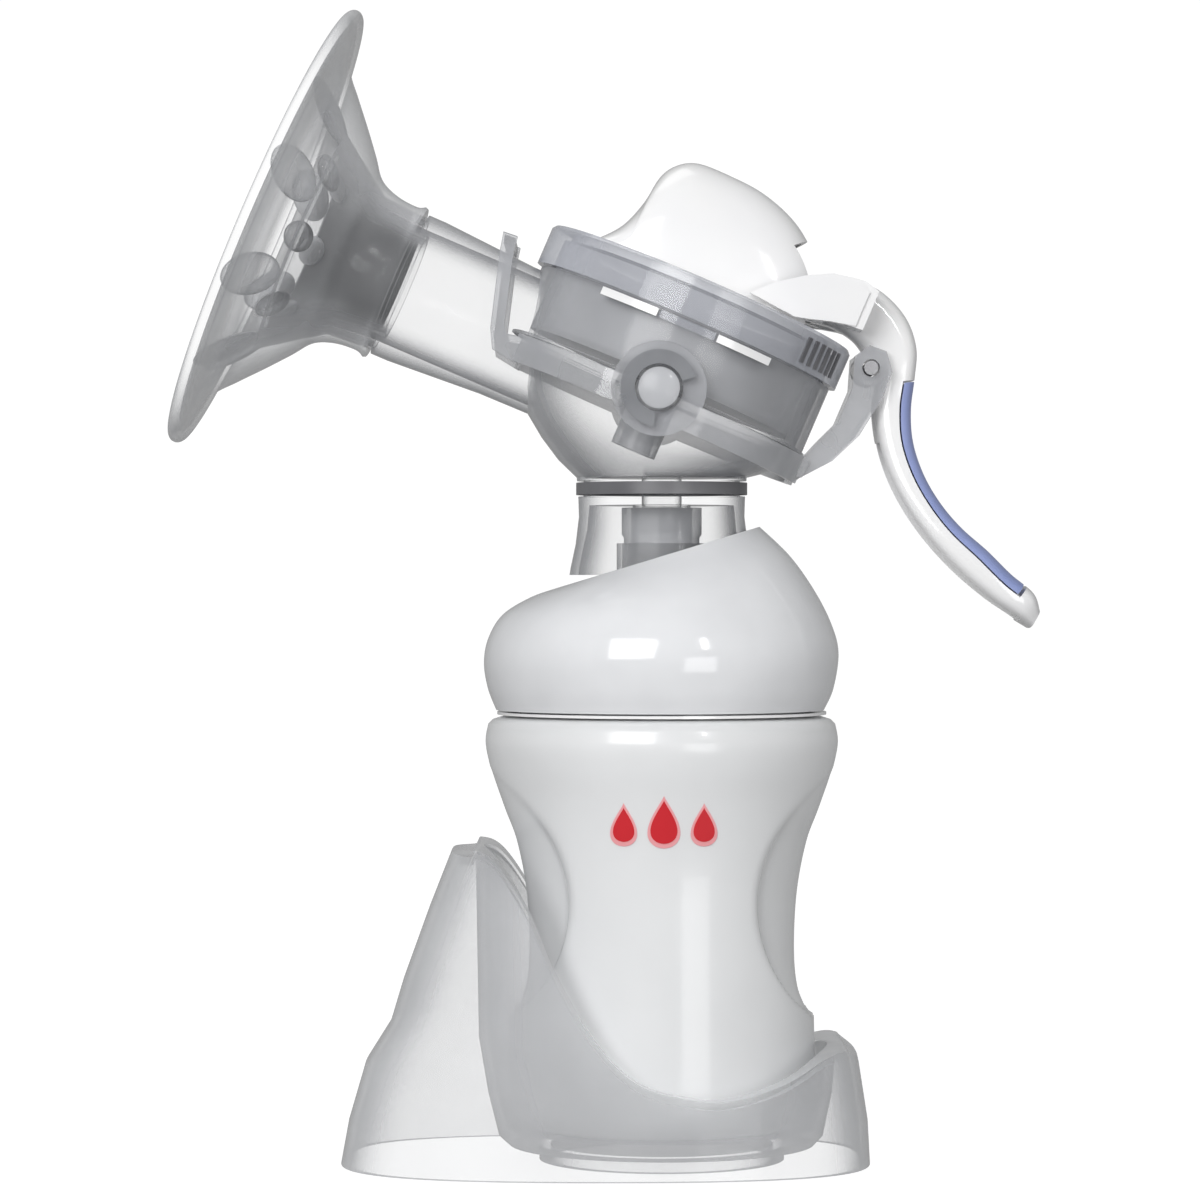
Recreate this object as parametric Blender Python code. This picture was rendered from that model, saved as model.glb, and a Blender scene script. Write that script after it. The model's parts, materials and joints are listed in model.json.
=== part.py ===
"""Manual breast pump with a feeding bottle and its stand.

Metres, +Z up. The part's origin is under the middle of its outline, on the table.
The bottle, collar and neck stand on a vertical axis. The pump head is built in its own
tilted frame: +X points to the handle side, +Z along the axis of the pump drum, and the
origin is the hub where the funnel, the drum and the side bosses cross.
"""
import math

import bmesh
import bpy
from mathutils import Matrix, Vector

MM = 0.001
CLEAR = 0.3                    # gap kept between touching pieces, mm

# Driving dimensions, mm
AXIS_X = 10.6                  # bottle axis, measured from the part's origin
HUB = (AXIS_X - 0.9, 0.0, 137.3)
TILT_DEG = 23.3                # lean of the pump head towards the handle
DRUM_R = 28.1                  # clear drum wall, outside
DRUM_WALL = 1.5
DRUM_TOP = 13.1
RING_R = 29.1                  # cover ring
RING_TOP = 20.7
TUBE_R = 13.5                  # funnel tube at its collar
RIM_R = 42.1                   # breast cushion rim
RIM_U = -77.6                  # plane of the rim along the head's X
NECK_R = 15.3
NECK_Z = 122.4                 # underside of the bowl
BOTTLE_R = 31.7
BOTTLE_BASE = 6.0
BOTTLE_NECK_R = 25.5
SEAM_Z = 80.4                  # joint between collar and bottle
BOSS_R = 3.9
PIVOT = (33.2, 19.2)           # handle axle in the head's X and Z
STEM_PIN_Z = 25.5
HANDLE_HALF = 6.0              # half width of the handle at its axle
STAND_WALL = 1.6
SEGMENTS = 32                  # facets round a turned piece


def clear_scene():
    for obj in list(bpy.data.objects):
        bpy.data.objects.remove(obj, do_unlink=True)


def material(name, color, roughness, metallic=0.0, alpha=1.0):
    mat = bpy.data.materials.new(name)
    mat.use_nodes = True
    shader = mat.node_tree.nodes["Principled BSDF"]
    shader.inputs["Base Color"].default_value = (*color, 1.0)
    shader.inputs["Roughness"].default_value = roughness
    shader.inputs["Metallic"].default_value = metallic
    shader.inputs["Alpha"].default_value = alpha
    return mat


def empty(name, location, tilt_deg=0.0, parent=None):
    obj = bpy.data.objects.new(name, None)
    bpy.context.collection.objects.link(obj)
    obj.location = Vector(location) * MM
    obj.rotation_euler = (0.0, math.radians(tilt_deg), 0.0)
    obj.parent = parent
    return obj


def mesh_object(name, rings, mat, parent=None, closed=False):
    """Skin a list of point loops; a loop of one point is a pole."""
    bm = bmesh.new()
    loops = [[bm.verts.new(Vector(p) * MM) for p in ring] for ring in rings]
    pairs = list(zip(loops, loops[1:]))
    if closed:
        pairs.append((loops[-1], loops[0]))
    for low, high in pairs:
        count = max(len(low), len(high))
        for i in range(count):
            j = (i + 1) % count
            if len(low) == 1:
                bm.faces.new((low[0], high[j], high[i]))
            elif len(high) == 1:
                bm.faces.new((low[i], low[j], high[0]))
            else:
                bm.faces.new((low[i], low[j], high[j], high[i]))
    if not closed:
        for ring in (loops[0], loops[-1]):
            if len(ring) > 2:
                bm.faces.new(ring)
    bmesh.ops.recalc_face_normals(bm, faces=bm.faces)
    mesh = bpy.data.meshes.new(name)
    bm.to_mesh(mesh)
    bm.free()
    mesh.shade_smooth()
    mesh.set_sharp_from_angle(angle=math.radians(35))
    obj = bpy.data.objects.new(name, mesh)
    bpy.context.collection.objects.link(obj)
    if mat:
        mesh.materials.append(mat)
    obj.parent = parent
    return obj


def circle(radius, height, segments=SEGMENTS, axis="Z", centre=(0.0, 0.0)):
    """Points of a circle around an axis; centre is its place across that axis."""
    points = []
    for i in range(segments):
        angle = 2 * math.pi * i / segments
        a = centre[0] + radius * math.cos(angle)
        b = centre[1] + radius * math.sin(angle)
        if axis == "Z":
            points.append((a, b, height))
        elif axis == "X":
            points.append((height, a, b))
        else:
            points.append((a, height, b))
    return points


def lathe(name, profile, mat=None, parent=None, axis="Z", segments=SEGMENTS, centre=(0.0, 0.0)):
    """Turn a closed outline of (radius, height) points; radius 0 makes a pole."""
    rings = []
    for radius, height in profile:
        if radius == 0:
            rings.append(circle(0.0, height, 1, axis, centre))
        else:
            rings.append(circle(radius, height, segments, axis, centre))
    return mesh_object(name, rings, mat, parent, closed=profile[0][0] != 0)


def curve(points, count):
    """Smooth Catmull-Rom line through a few points."""
    padded = [points[0]] + list(points) + [points[-1]]
    spans = len(points) - 1
    result = []
    for i in range(count):
        t = spans * i / (count - 1)
        k = min(int(t), spans - 1)
        f = t - k
        p0, p1, p2, p3 = (Vector(p) for p in padded[k:k + 4])
        value = 2 * p1 + (p2 - p0) * f
        value += (2 * p0 - 5 * p1 + 4 * p2 - p3) * f * f
        value += (3 * p1 - p0 - 3 * p2 + p3) * f ** 3
        result.append(value * 0.5)
    return result


def sections(left, right, offset=0.0, segments=SEGMENTS, squareness=2.0, depth=1.0):
    """Loops spanned between a left and a right outline in the XZ plane."""
    rings = []
    for a, b in zip(left, right):
        middle = (a + b) / 2
        along = (b - a) / 2
        reach = along.length - offset
        along = along.normalized()
        across = reach * depth
        ring = []
        for i in range(segments):
            angle = 2 * math.pi * i / segments
            c, s = math.cos(angle), math.sin(angle)
            x = math.copysign(abs(c) ** (2 / squareness), c) * reach
            y = math.copysign(abs(s) ** (2 / squareness), s) * across
            ring.append((middle.x + along.x * x, y, middle.y + along.y * x))
        rings.append(ring)
    return rings


def plate(name, outline, y_low, y_high, mat=None, parent=None):
    """An outline in the XZ plane, extruded along Y."""
    rings = [[(x, y, z) for x, z in outline] for y in (y_low, y_high)]
    return mesh_object(name, rings, mat, parent)


def boolean(obj, tool, operation):
    """Apply a Boolean and remove the tool."""
    bpy.context.view_layer.update()
    mod = obj.modifiers.new("boolean", "BOOLEAN")
    mod.operation = operation
    mod.solver = "EXACT"
    mod.object = tool
    graph = bpy.context.evaluated_depsgraph_get()
    mesh = bpy.data.meshes.new_from_object(obj.evaluated_get(graph))
    obj.modifiers.clear()
    obj.data = mesh
    bpy.data.objects.remove(tool, do_unlink=True)
    return obj


def tidy(obj, angle=35):
    """Merge slivers left by Booleans and reset the shading."""
    bm = bmesh.new()
    bm.from_mesh(obj.data)
    bmesh.ops.remove_doubles(bm, verts=bm.verts, dist=0.00001)
    bmesh.ops.dissolve_degenerate(bm, edges=bm.edges, dist=0.00001)
    bm.to_mesh(obj.data)
    bm.free()
    obj.data.shade_smooth()
    obj.data.set_sharp_from_angle(angle=math.radians(angle))
    return obj


# ---------------------------------------------------------------- stand and bottle

def stand_outline(offset):
    """Left and right side lines of the stand, drawn in by offset."""
    left = [(-57.4, 0), (-56.0, 7.7), (-53.0, 18), (-48.6, 25), (-46.2, 33), (-41.5, 46),
            (-36.0, 60)]
    right = [(37.2, 0), (36.8, 7.7), (35.2, 18), (33.6, 25), (33.4, 33), (33.4, 46), (33.4, 60)]
    left = [Vector((x + offset, z)) for x, z in left]
    right = [Vector((x - offset, z)) for x, z in right]
    return left, right


def stand_body(name, offset, base, half_depth):
    left, right = stand_outline(offset)
    rings = []
    for a, b in zip(left, right):
        middle, reach = (a.x + b.x) / 2, (b.x - a.x) / 2
        depth = half_depth - offset - 0.035 * a.y
        ring = []
        for i in range(48):
            angle = 2 * math.pi * i / 48
            c, s = math.cos(angle), math.sin(angle)
            x = math.copysign(abs(c) ** 0.78, c) * reach
            y = math.copysign(abs(s) ** 0.62, s) * depth
            ring.append((middle + x, y, max(a.y, base)))
        rings.append(ring)
    return mesh_object(name, rings, None)


def rim_cutter(name, drop):
    """Everything above the sweeping rim of the stand, lowered by drop."""
    rim = [(-70, 62), (-37, 55.6), (-33, 56.6), (-28.8, 54.2), (-23.2, 45.4), (-18, 33.9),
           (-11.3, 23.2), (-4, 16.6), (5.4, 14.1), (12.1, 13.9), (21, 16.4), (28, 20.1),
           (32, 21), (34.5, 19.6), (50, 12)]
    edge = [(p.x, p.y - drop) for p in curve(rim, 37)]
    return plate(name, edge + [(50, 80), (-70, 80)], -60, 60)


def build_stand(mat, parent):
    half_depth = 34.0
    stand = stand_body("bottle_stand", 0.0, 0.0, half_depth)
    hollow = stand_body("hollow", STAND_WALL, -1.0, half_depth)
    well_left = [Vector(p) for p in [(-27.4, 2.7), (-29.3, 4.4), (-31.2, 12), (-32.9, 22), (-33.6, 62)]]
    well_right = [Vector(p) for p in [(27.4, 2.7), (29.0, 4.4), (30.6, 12), (31.4, 22), (31.9, 62)]]
    jacket = mesh_object("jacket", sections(well_left, well_right), None)
    boolean(hollow, rim_cutter("lower_rim", STAND_WALL), "DIFFERENCE")
    boolean(hollow, jacket, "DIFFERENCE")
    floor_z = BOTTLE_BASE - CLEAR
    inner_left = [Vector((p.x + STAND_WALL, max(p.y, floor_z))) for p in well_left[1:]]
    inner_right = [Vector((p.x - STAND_WALL, max(p.y, floor_z))) for p in well_right[1:]]
    well = mesh_object("well", sections(inner_left, inner_right), None)
    boolean(stand, rim_cutter("rim", 0.0), "DIFFERENCE")
    boolean(stand, well, "DIFFERENCE")
    boolean(stand, hollow, "DIFFERENCE")
    foot = lathe("foot", [(20.0, 0.0), (22.0, 0.0), (22.0, 4.2), (20.0, 4.2)])
    boolean(stand, foot, "UNION")
    stand.data.materials.append(mat)
    stand.parent = parent
    return tidy(stand)


BOTTLE_FULL = [(27.4, 10), (27.5, 19), (27.3, 30), (27.2, 40), (27.4, 50), (28.2, 58), (29.4, 65),
               (31.0, 71), (BOTTLE_R, 75), (31.2, 78.2)]
BOTTLE_WAIST = [(27.4, 10), (27.4, 19), (26.2, 26), (24.4, 31), (23.8, 38), (24.3, 48), (26.0, 57),
                (28.2, 63), (30.6, 70), (BOTTLE_R, 75), (31.2, 78.2)]


def height_lookup(points):
    """A function that gives the radius of a side line at a height."""
    line = curve(points, 120)

    def radius_at(z):
        for low, high in zip(line, line[1:]):
            if low.y <= z <= high.y:
                share = (z - low.y) / max(high.y - low.y, 1e-6)
                return low.x + (high.x - low.x) * share
        return line[0].x if z < line[0].y else line[-1].x
    return radius_at


FULL_AT, WAIST_AT = height_lookup(BOTTLE_FULL), height_lookup(BOTTLE_WAIST)


def bottle_radius(angle, z):
    """Outer radius: full body, scooped on both sides for the hand."""
    side = abs(math.atan2(math.sin(angle), abs(math.cos(angle))))
    span = 1 - ((z - 48.0) / 22.0) ** 2
    edge = math.radians(50) * math.sqrt(max(span, 0.0))
    share = min(max((edge - side) / math.radians(9) + 0.5, 0.0), 1.0)
    share = share * share * (3 - 2 * share)
    return FULL_AT(z) + (WAIST_AT(z) - FULL_AT(z)) * share


def build_bottle(mat, parent):
    base, wall, steps = BOTTLE_BASE, 1.5, 9
    heights = [base + 4 + (78.2 - base - 4) * i / steps for i in range(steps + 1)]

    def ring(z, inset):
        points = []
        for i in range(SEGMENTS):
            angle = 2 * math.pi * i / SEGMENTS
            radius = bottle_radius(angle, z) - inset
            points.append((radius * math.cos(angle), radius * math.sin(angle), z))
        return points
    rings = [circle(0, base, 1), circle(24.6, base, SEGMENTS), circle(26.8, base + 1.4, SEGMENTS)]
    rings += [ring(z, 0.0) for z in heights]
    rings += [circle(BOTTLE_NECK_R, 79.6, SEGMENTS), circle(BOTTLE_NECK_R, 93.0, SEGMENTS),
              circle(BOTTLE_NECK_R - wall, 93.0, SEGMENTS), circle(BOTTLE_NECK_R - wall, 78.8, SEGMENTS)]
    rings += [ring(z, wall) for z in reversed(heights[:-1])]
    rings += [circle(24.0, base + wall, SEGMENTS), circle(0, base + wall, 1)]
    return mesh_object("bottle", rings, mat, parent)


def build_collar(mat, seal_mat, parent):
    left = [(-29.8, SEAM_Z + 0.3), (-31.3, 84.6), (-32.0, 89.2), (-31.2, 93.6), (-28.6, 97.8),
            (-23.6, 100.9), (-18.8, 102.6)]
    right = [(29.2, SEAM_Z + 0.3), (30.9, 84.6), (31.8, 91), (30.4, 96.4), (27.3, 102.4), (23.0, 108.4),
             (17.6, 113.6)]
    left, right = curve(left, 10), curve(right, 10)
    outside = sections(left, right)
    inside = sections(left, right, offset=1.7)
    collar = mesh_object("adapter_collar", outside + inside[::-1], mat, parent, closed=True)
    seal = [(26.0, SEAM_Z - 0.5), (29.6, SEAM_Z - 0.5), (29.6, SEAM_Z), (26.0, SEAM_Z)]
    lathe("bottle_seal", seal, seal_mat, parent)
    return collar


# ---------------------------------------------------------------- pump head

def to_head(x, y, z):
    """A point given from the bottle axis, in the head's own frame."""
    tilt = math.radians(TILT_DEG)
    dx, dz = x + AXIS_X - HUB[0], z - HUB[2]
    return (dx * math.cos(tilt) - dz * math.sin(tilt), y, dx * math.sin(tilt) + dz * math.cos(tilt))


def bowl_rings(offset):
    """From the drum's seam down to the neck and its flared skirt."""
    left = [(-26.7, 148.4), (-26.2, 143.6), (-25.7, 138.9), (-24.2, 134), (-21.6, 129.6),
            (-18.6, 125.6), (-15.3, NECK_Z)]
    right = [(24.9, 126.2), (24.3, 125.5), (23.5, 124.9), (22.2, 124.4), (20.2, 123.7),
             (17.8, 123.0), (15.3, NECK_Z)]
    skirt = [(15.0, 118.6), (14.9, 115.4), (15.5, 110.4), (16.4, 106.2), (16.6, 104.9)]
    left += [(-r, z) for r, z in skirt]
    right += [(r, z) for r, z in skirt]
    left, right = [Vector(p) for p in left], [Vector(p) for p in right]
    rings = sections(left, right, offset)
    return [[to_head(*p) for p in ring] for ring in rings]


def build_body(mat, parent):
    wall = DRUM_WALL
    drum = [circle(DRUM_R, DRUM_TOP), circle(DRUM_R, 6.0)]
    body = mesh_object("pump_body", drum + bowl_rings(0.0), mat, parent)
    # funnel tube, collar and the hard cone inside the cushion
    cone = [(-68.4, 19.6), (-62.5, 15.5), (-58.5, 12.9), (-52.0, 12.4)]
    tube = [(-50.2, 12.4), (-50.2, TUBE_R), (-47.0, TUBE_R), (-29.4, 12.4), (-20.0, 12.3)]
    outside = [(r, u) for u, r in cone + tube]
    solid = lathe("tube", [(0, -68.4)] + outside + [(0, -20.0)], axis="X", parent=parent)
    boolean(body, solid, "UNION")
    for side in (-1, 1):
        boss = lathe("boss", [(0, side * 25.0), (BOSS_R, side * 25.0), (BOSS_R, side * 32.0),
                              (0, side * 32.0)], axis="Y", segments=24, parent=parent)
        boolean(body, boss, "UNION")
    groove = [(NECK_R + 2, 119.0), (NECK_R - 1.2, 119.0), (NECK_R - 1.2, 121.8), (NECK_R + 2, 121.8)]
    rings = [[to_head(*p) for p in circle(r, z)] for r, z in groove]
    boolean(body, mesh_object("groove", rings, None, parent, closed=True), "DIFFERENCE")
    # bore of the tube and the inside of bowl and drum
    bore = [(0, -70.8), (20.7, -70.8), (18.9, -68.4), (14.6, -62.5), (11.7, -58.5), (10.9, -52.0),
            (10.9, -20.0), (0, -20.0)]
    boolean(body, lathe("bore", bore, axis="X", parent=parent), "DIFFERENCE")
    room = [circle(DRUM_R - wall, DRUM_TOP + 2), circle(DRUM_R - wall, 6.0)] + bowl_rings(wall)[:7]
    boolean(body, mesh_object("room", room, None, parent), "DIFFERENCE")
    under = [[to_head(*p) for p in circle(r, z)]
             for r, z in [(13.0, 117.4), (13.4, 113), (14.0, 110.4), (14.9, 106.2), (15.1, 103)]]
    boolean(body, mesh_object("under", under, None, parent), "DIFFERENCE")
    drain = [[to_head(*p) for p in circle(r, z, 24)] for r, z in [(3.6, 124.0), (3.6, 110.0)]]
    spigot = [[to_head(*p) for p in circle(5.2, z, 24)] for z in (118.6, 112.5)]
    boolean(body, mesh_object("spigot", spigot, None, parent), "UNION")
    boolean(body, mesh_object("drain", drain, None, parent), "DIFFERENCE")
    return tidy(body)


def build_cushion(mat, parent):
    """Soft liner: folds over the hard cone, lines its inside and ends in a rolled rim."""
    rim = RIM_U
    outside = [(-50.9, 13.0), (-50.9, 14.6), (-57.0, 14.4), (-60.6, 16.2), (-66.6, 23.4),
               (rim + 3.9, 31.8), (rim + 1.9, 40.6)]
    roll = [(rim + 0.5, RIM_R), (rim, 41.0)]
    inside = [(rim + 2.6, 30.5), (rim + 5.6, 20.4), (-62.0, 12.4), (-57.6, 9.6), (-49.0, 9.2)]
    pocket = [(-49.0, 10.5), (-58.3, 11.0), (-69.0, 19.0), (-69.4, 20.8), (-62.9, 16.1),
              (-58.9, 13.4), (-52.0, 12.9)]
    profile = [(r, u) for u, r in outside + roll + inside + pocket]
    return lathe("breast_cushion", profile, mat, parent, axis="X")


def build_neck(mats, parent):
    """Pieces around and under the neck, on the bottle axis."""
    ring = [(NECK_R - 0.9, 119.3), (NECK_R + 0.1, 119.3), (NECK_R + 0.1, 121.5), (NECK_R - 0.9, 121.5)]
    sleeve = [(5.5, 117.0), (7.2, 117.0), (7.2, 112.2), (6.8, 111.6), (6.8, 104.0), (5.5, 104.0)]
    duck = [(7.1, 110.6), (8.1, 110.6), (8.1, 101.0), (4.0, 96.0), (1.0, 92.0), (0.5, 92.0),
            (3.0, 96.2), (6.4, 102.0), (7.1, 103.7)]
    lathe("neck_ring", ring, mats["dark"], parent)
    lathe("valve_sleeve", sleeve, mats["frosted"], parent, segments=32)
    lathe("duckbill_valve", duck, mats["silicone"], parent, segments=32)


def build_drum_parts(mats, parent):
    """Frosted diaphragm cup, diaphragm, stem and the cover ring."""
    cup = [(25.7, 18.4), (25.7, 2.1), (4.2, 2.1), (4.2, -10.9), (3.0, -10.9), (3.0, 3.3),
           (24.5, 3.3), (24.5, 18.4)]
    lathe("diaphragm_cup", cup, mats["frosted"], parent)
    ring = [(RING_R - 0.5, RING_TOP), (RING_R, RING_TOP - 0.6), (RING_R, 13.4), (26.2, 13.4),
            (26.2, 18.8), (25.0, 18.8), (25.0, RING_TOP)]
    lathe("cover_ring", ring[::-1], mats["ring"], parent)


def build_diaphragm(mats, parent):
    outline = [(0, 4.6), (9.6, 4.6), (17.0, 4.2), (21.6, 5.2), (23.4, 9.0), (24.0, 17.2), (24.2, 17.6),
               (24.2, 18.7), (22.9, 18.7), (22.6, 9.4), (20.9, 6.4), (17.0, 5.4), (9.6, 5.8), (0, 5.8)]
    return lathe("diaphragm", outline, mats["silicone"], parent)


def build_stem(mats, parent):
    plate_low, pin_z = 6.1, STEM_PIN_Z
    stem = [(0, plate_low), (9.0, plate_low), (9.0, plate_low + 1.5), (2.9, plate_low + 2.0),
            (2.4, plate_low + 4.0), (2.4, pin_z + 2.4), (0, pin_z + 2.4)]
    obj = lathe("diaphragm_stem", stem, mats["white"], parent, segments=24)
    hole_r = 1.3
    hole = lathe("hole", [(0, -5), (hole_r, -5), (hole_r, 5), (0, 5)], axis="Y", segments=20,
                 centre=(0, pin_z), parent=parent)
    boolean(obj, hole, "DIFFERENCE")
    pin = [(0, -6.8), (1.0, -6.8), (1.0, 6.8), (0, 6.8)]
    lathe("stem_pin", pin, mats["steel"], parent, axis="Y", segments=20, centre=(0, pin_z))
    return tidy(obj)


def hump_rings(offset, low):
    """Arches across the head, from the dome's nose to its open back."""
    crest = [(-20.9, 21.4), (-17.6, 25.6), (-15.7, 31.0), (-14.9, 36.2), (-13.0, 39.3), (-9.5, 41.2),
             (-3.0, 41.4), (3.0, 40.9), (8.7, 39.2), (13.0, 36.8), (16.6, 33.4), (19.2, 29.0)]
    rings = []
    for point in curve(crest, 17):
        u, top = point.x, point.y - offset
        spread = 1 - ((u + 1.0) / 24.0) ** 4
        half = 11.6 * math.sqrt(max(spread, 0.04)) - offset
        if u < -10:
            u += offset
        top = max(top, low + 0.5)
        ring = []
        for i in range(17):
            angle = math.pi * i / 16
            rise = math.sin(angle) ** 0.75
            ring.append((u, -half * math.cos(angle), low + (top - low) * rise))
        rings.append(ring)
    return rings


def build_dome(mat, parent):
    disc = [(0, 19.1), (24.7, 19.1), (24.7, RING_TOP), (0, RING_TOP)]
    dome = lathe("dome_cover", disc, mat, parent)
    boolean(dome, mesh_object("hump", hump_rings(0.0, 20.2), None, parent), "UNION")
    boolean(dome, mesh_object("room", hump_rings(1.5, 18.0), None, parent), "DIFFERENCE")
    door = plate("door", [(12, 21.0), (30, 21.0), (30, 37.0), (15, 37.0), (12, 34.0)], -7.5, 7.5, None,
                 parent)
    boolean(dome, door, "DIFFERENCE")
    return tidy(dome)


def strap_rings(path, half_height, thickness):
    """Loops of a flat strap; each path entry is (point, outward direction, up direction)."""
    rings = []
    for point, out, up in path:
        point, out, up = Vector(point), Vector(out).normalized(), Vector(up).normalized()
        corners = [(0, -1), (1, -1), (1, 1), (0, 1)]
        rings.append([point + out * thickness * a + up * half_height * b for a, b in corners])
    return rings


def build_yoke(mats, parent):
    """Clear bracket: eyes on the side bosses, a front arch over the tube, ears for the axle."""
    reach = DRUM_R + 0.4
    inner = reach + 0.45
    depth = -2.6
    ear_y, ear_t = 6.6, 2.0
    yoke = None
    for side in (-1, 1):
        path = []
        for step in range(13):
            angle = math.radians(152 - 136 * step / 12)
            out = (math.cos(angle), side * math.sin(angle), 0)
            path.append(((out[0] * reach, out[1] * reach, depth), out, (0, 0, 1)))
        arm = mesh_object("arm", strap_rings(path, 2.5, 1.6), None, parent)
        eye = lathe("eye", [(0, side * (reach - 0.2)), (8.3, side * (reach - 0.2)),
                            (8.3, side * (reach + 1.6)), (0, side * (reach + 1.6))],
                    axis="Y", segments=32, parent=parent)
        boolean(arm, eye, "UNION")
        hole_r = BOSS_R + CLEAR
        hole = lathe("hole", [(0, side * 20), (hole_r, side * 20), (hole_r, side * 40), (0, side * 40)],
                     axis="Y", segments=32, parent=parent)
        boolean(arm, hole, "DIFFERENCE")
        ear = [(25.4, -4.6), (28.9, -4.3), (33.4, 1.2), (36.0, 7.2), (37.2, 15.0), (37.0, 20.0),
               (34.6, 23.0), (31.4, 22.8), (29.7, 20.0), (31.6, 14.6), (31.6, 8.0), (29.9, 3.8),
               (28.7, 0.4), (26.6, -0.2)]
        low, high = sorted((side * ear_y, side * (ear_y + ear_t)))
        ear = plate("ear", ear, low, high, None, parent)
        link = plate("link", [(27.0, -4.4), (29.6, -3.6), (29.6, -0.2), (27.6, -0.2)],
                     *sorted((side * 7.1, side * 9.9)), None, parent)
        drum = lathe("drum", [(0, -8), (inner, -8), (inner, 6), (0, 6)], parent=parent)
        boolean(ear, link, "UNION")
        boolean(ear, drum, "DIFFERENCE")
        boolean(arm, tidy(ear), "UNION")
        tidy(arm)
        post = plate("post", [(-25.0, -5.3), (-29.9, -4.6), (-31.6, -1.4), (-35.4, 11.6), (-36.2, 15.2),
                              (-33.6, 15.4), (-32.9, 11.6), (-29.6, 0.2), (-28.6, -1.2), (-24.8, -0.4)],
                     *sorted((side * 12.9, side * 15.7)), None, parent)
        drum = lathe("drum", [(0, -8), (inner, -8), (inner, 6), (0, 6)], parent=parent)
        boolean(post, drum, "DIFFERENCE")
        boolean(arm, tidy(post), "UNION")
        tidy(arm)
        if yoke:
            tidy(boolean(yoke, arm, "UNION"))
        else:
            yoke = arm
            yoke.name = "yoke"
    bridge = plate("bridge", [(-35.5, 13.5), (-35.9, 15.0), (-33.9, 15.1), (-33.5, 13.5)], -14.4, 14.4,
                   None, parent)
    boolean(yoke, bridge, "UNION")
    pivot_hole = lathe("pivot_hole", [(0, -12), (1.55, -12), (1.55, 12), (0, 12)], axis="Y", segments=20,
                       centre=PIVOT, parent=parent)
    boolean(yoke, pivot_hole, "DIFFERENCE")
    yoke.data.materials.append(mats["clear"])
    lathe("pivot_pin", [(0, -9.2), (1.25, -9.2), (1.25, 9.2), (0, 9.2)], mats["steel"], parent, axis="Y",
          segments=20, centre=PIVOT)
    return tidy(yoke)


def build_boss_trim(mats, parent):
    """On each side a C-shaped clip on the boss and a small cap on its end."""
    for label, side in (("near", -1), ("far", 1)):
        low, high = 30.4, 32.2
        rings = []
        for step in range(21):
            angle = math.radians(40 + 245 * step / 20)
            c, s = math.cos(angle), math.sin(angle)
            rings.append([(r * c, side * y, r * s)
                          for r, y in ((4.2, low), (6.7, low), (6.7, high), (4.2, high))])
        mesh_object("clip_ring_" + label, rings, mats["clear"], parent)
        cap = [(0, side * 32.3), (3.6, side * 32.3), (3.6, side * 32.8), (3.0, side * 33.2),
               (0, side * 33.4)]
        lathe("boss_cap_" + label, cap, mats["frosted"], parent, axis="Y", segments=24)


# ---------------------------------------------------------------- handle

HANDLE_TOP = [(20.5, 32.0), (26.0, 33.2), (31.0, 32.6), (36.0, 30.1), (39.6, 26.0), (41.4, 21.0),
              (43.0, 15.6), (45.6, 10.4), (49.6, 5.8), (54.4, 2.2), (59.6, -0.4), (65.4, -2.3),
              (71.0, -4.5), (76.0, -6.0), (78.3, -8.4)]
HANDLE_BELOW = [(20.3, 22.8), (24.0, 23.5), (28.3, 22.9), (31.2, 21.4), (34.0, 19.8), (35.4, 17.2),
                (36.6, 12.8), (39.6, 7.6), (43.4, 3.0), (48.4, -1.3), (54.6, -5.2), (61.6, -8.4),
                (69.0, -10.6), (74.6, -11.6), (77.9, -12.1)]
HANDLE_WIDTH = [HANDLE_HALF, 6.0, 6.0, 6.0, 6.0, 6.0, 6.1, 6.8, 7.8, 8.8, 9.6, 10.0, 9.9, 9.2, 7.0]
GRIP_FROM, GRIP_TO = 0.36, 0.90    # share of the handle's length that the grip covers
GRIP_T = 1.7


def handle_rings(count, start, end, outer_in, inner_in, side_in):
    """Rounded sections of the handle; the three insets pull its faces in."""
    samples = 57
    top, below = curve(HANDLE_TOP, samples), curve(HANDLE_BELOW, samples)
    width = [p.x for p in curve([(w, 0) for w in HANDLE_WIDTH], samples)]
    rings = []
    for i in range(count):
        k = round((start + (end - start) * i / (count - 1)) * (samples - 1))
        across = (top[k] - below[k]).normalized()
        high = top[k] - across * outer_in
        low = below[k] + across * inner_in
        half = width[k] - side_in
        middle, reach = (high + low) / 2, (high - low) / 2
        ring = []
        for j in range(20):
            angle = 2 * math.pi * j / 20
            c, s = math.cos(angle), math.sin(angle)
            a = math.copysign(abs(c) ** 0.6, c)
            b = math.copysign(abs(s) ** 0.6, s)
            ring.append((middle.x + reach.x * a, half * b, middle.y + reach.y * a))
        rings.append(ring)
    return rings


def from_pivot(rings):
    return [[(x - PIVOT[0], y, z - PIVOT[1]) for x, y, z in ring] for ring in rings]


def pivot_plate(name, outline, low, high, parent):
    return plate(name, [(x - PIVOT[0], z - PIVOT[1]) for x, z in outline], low, high, None, parent)


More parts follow.
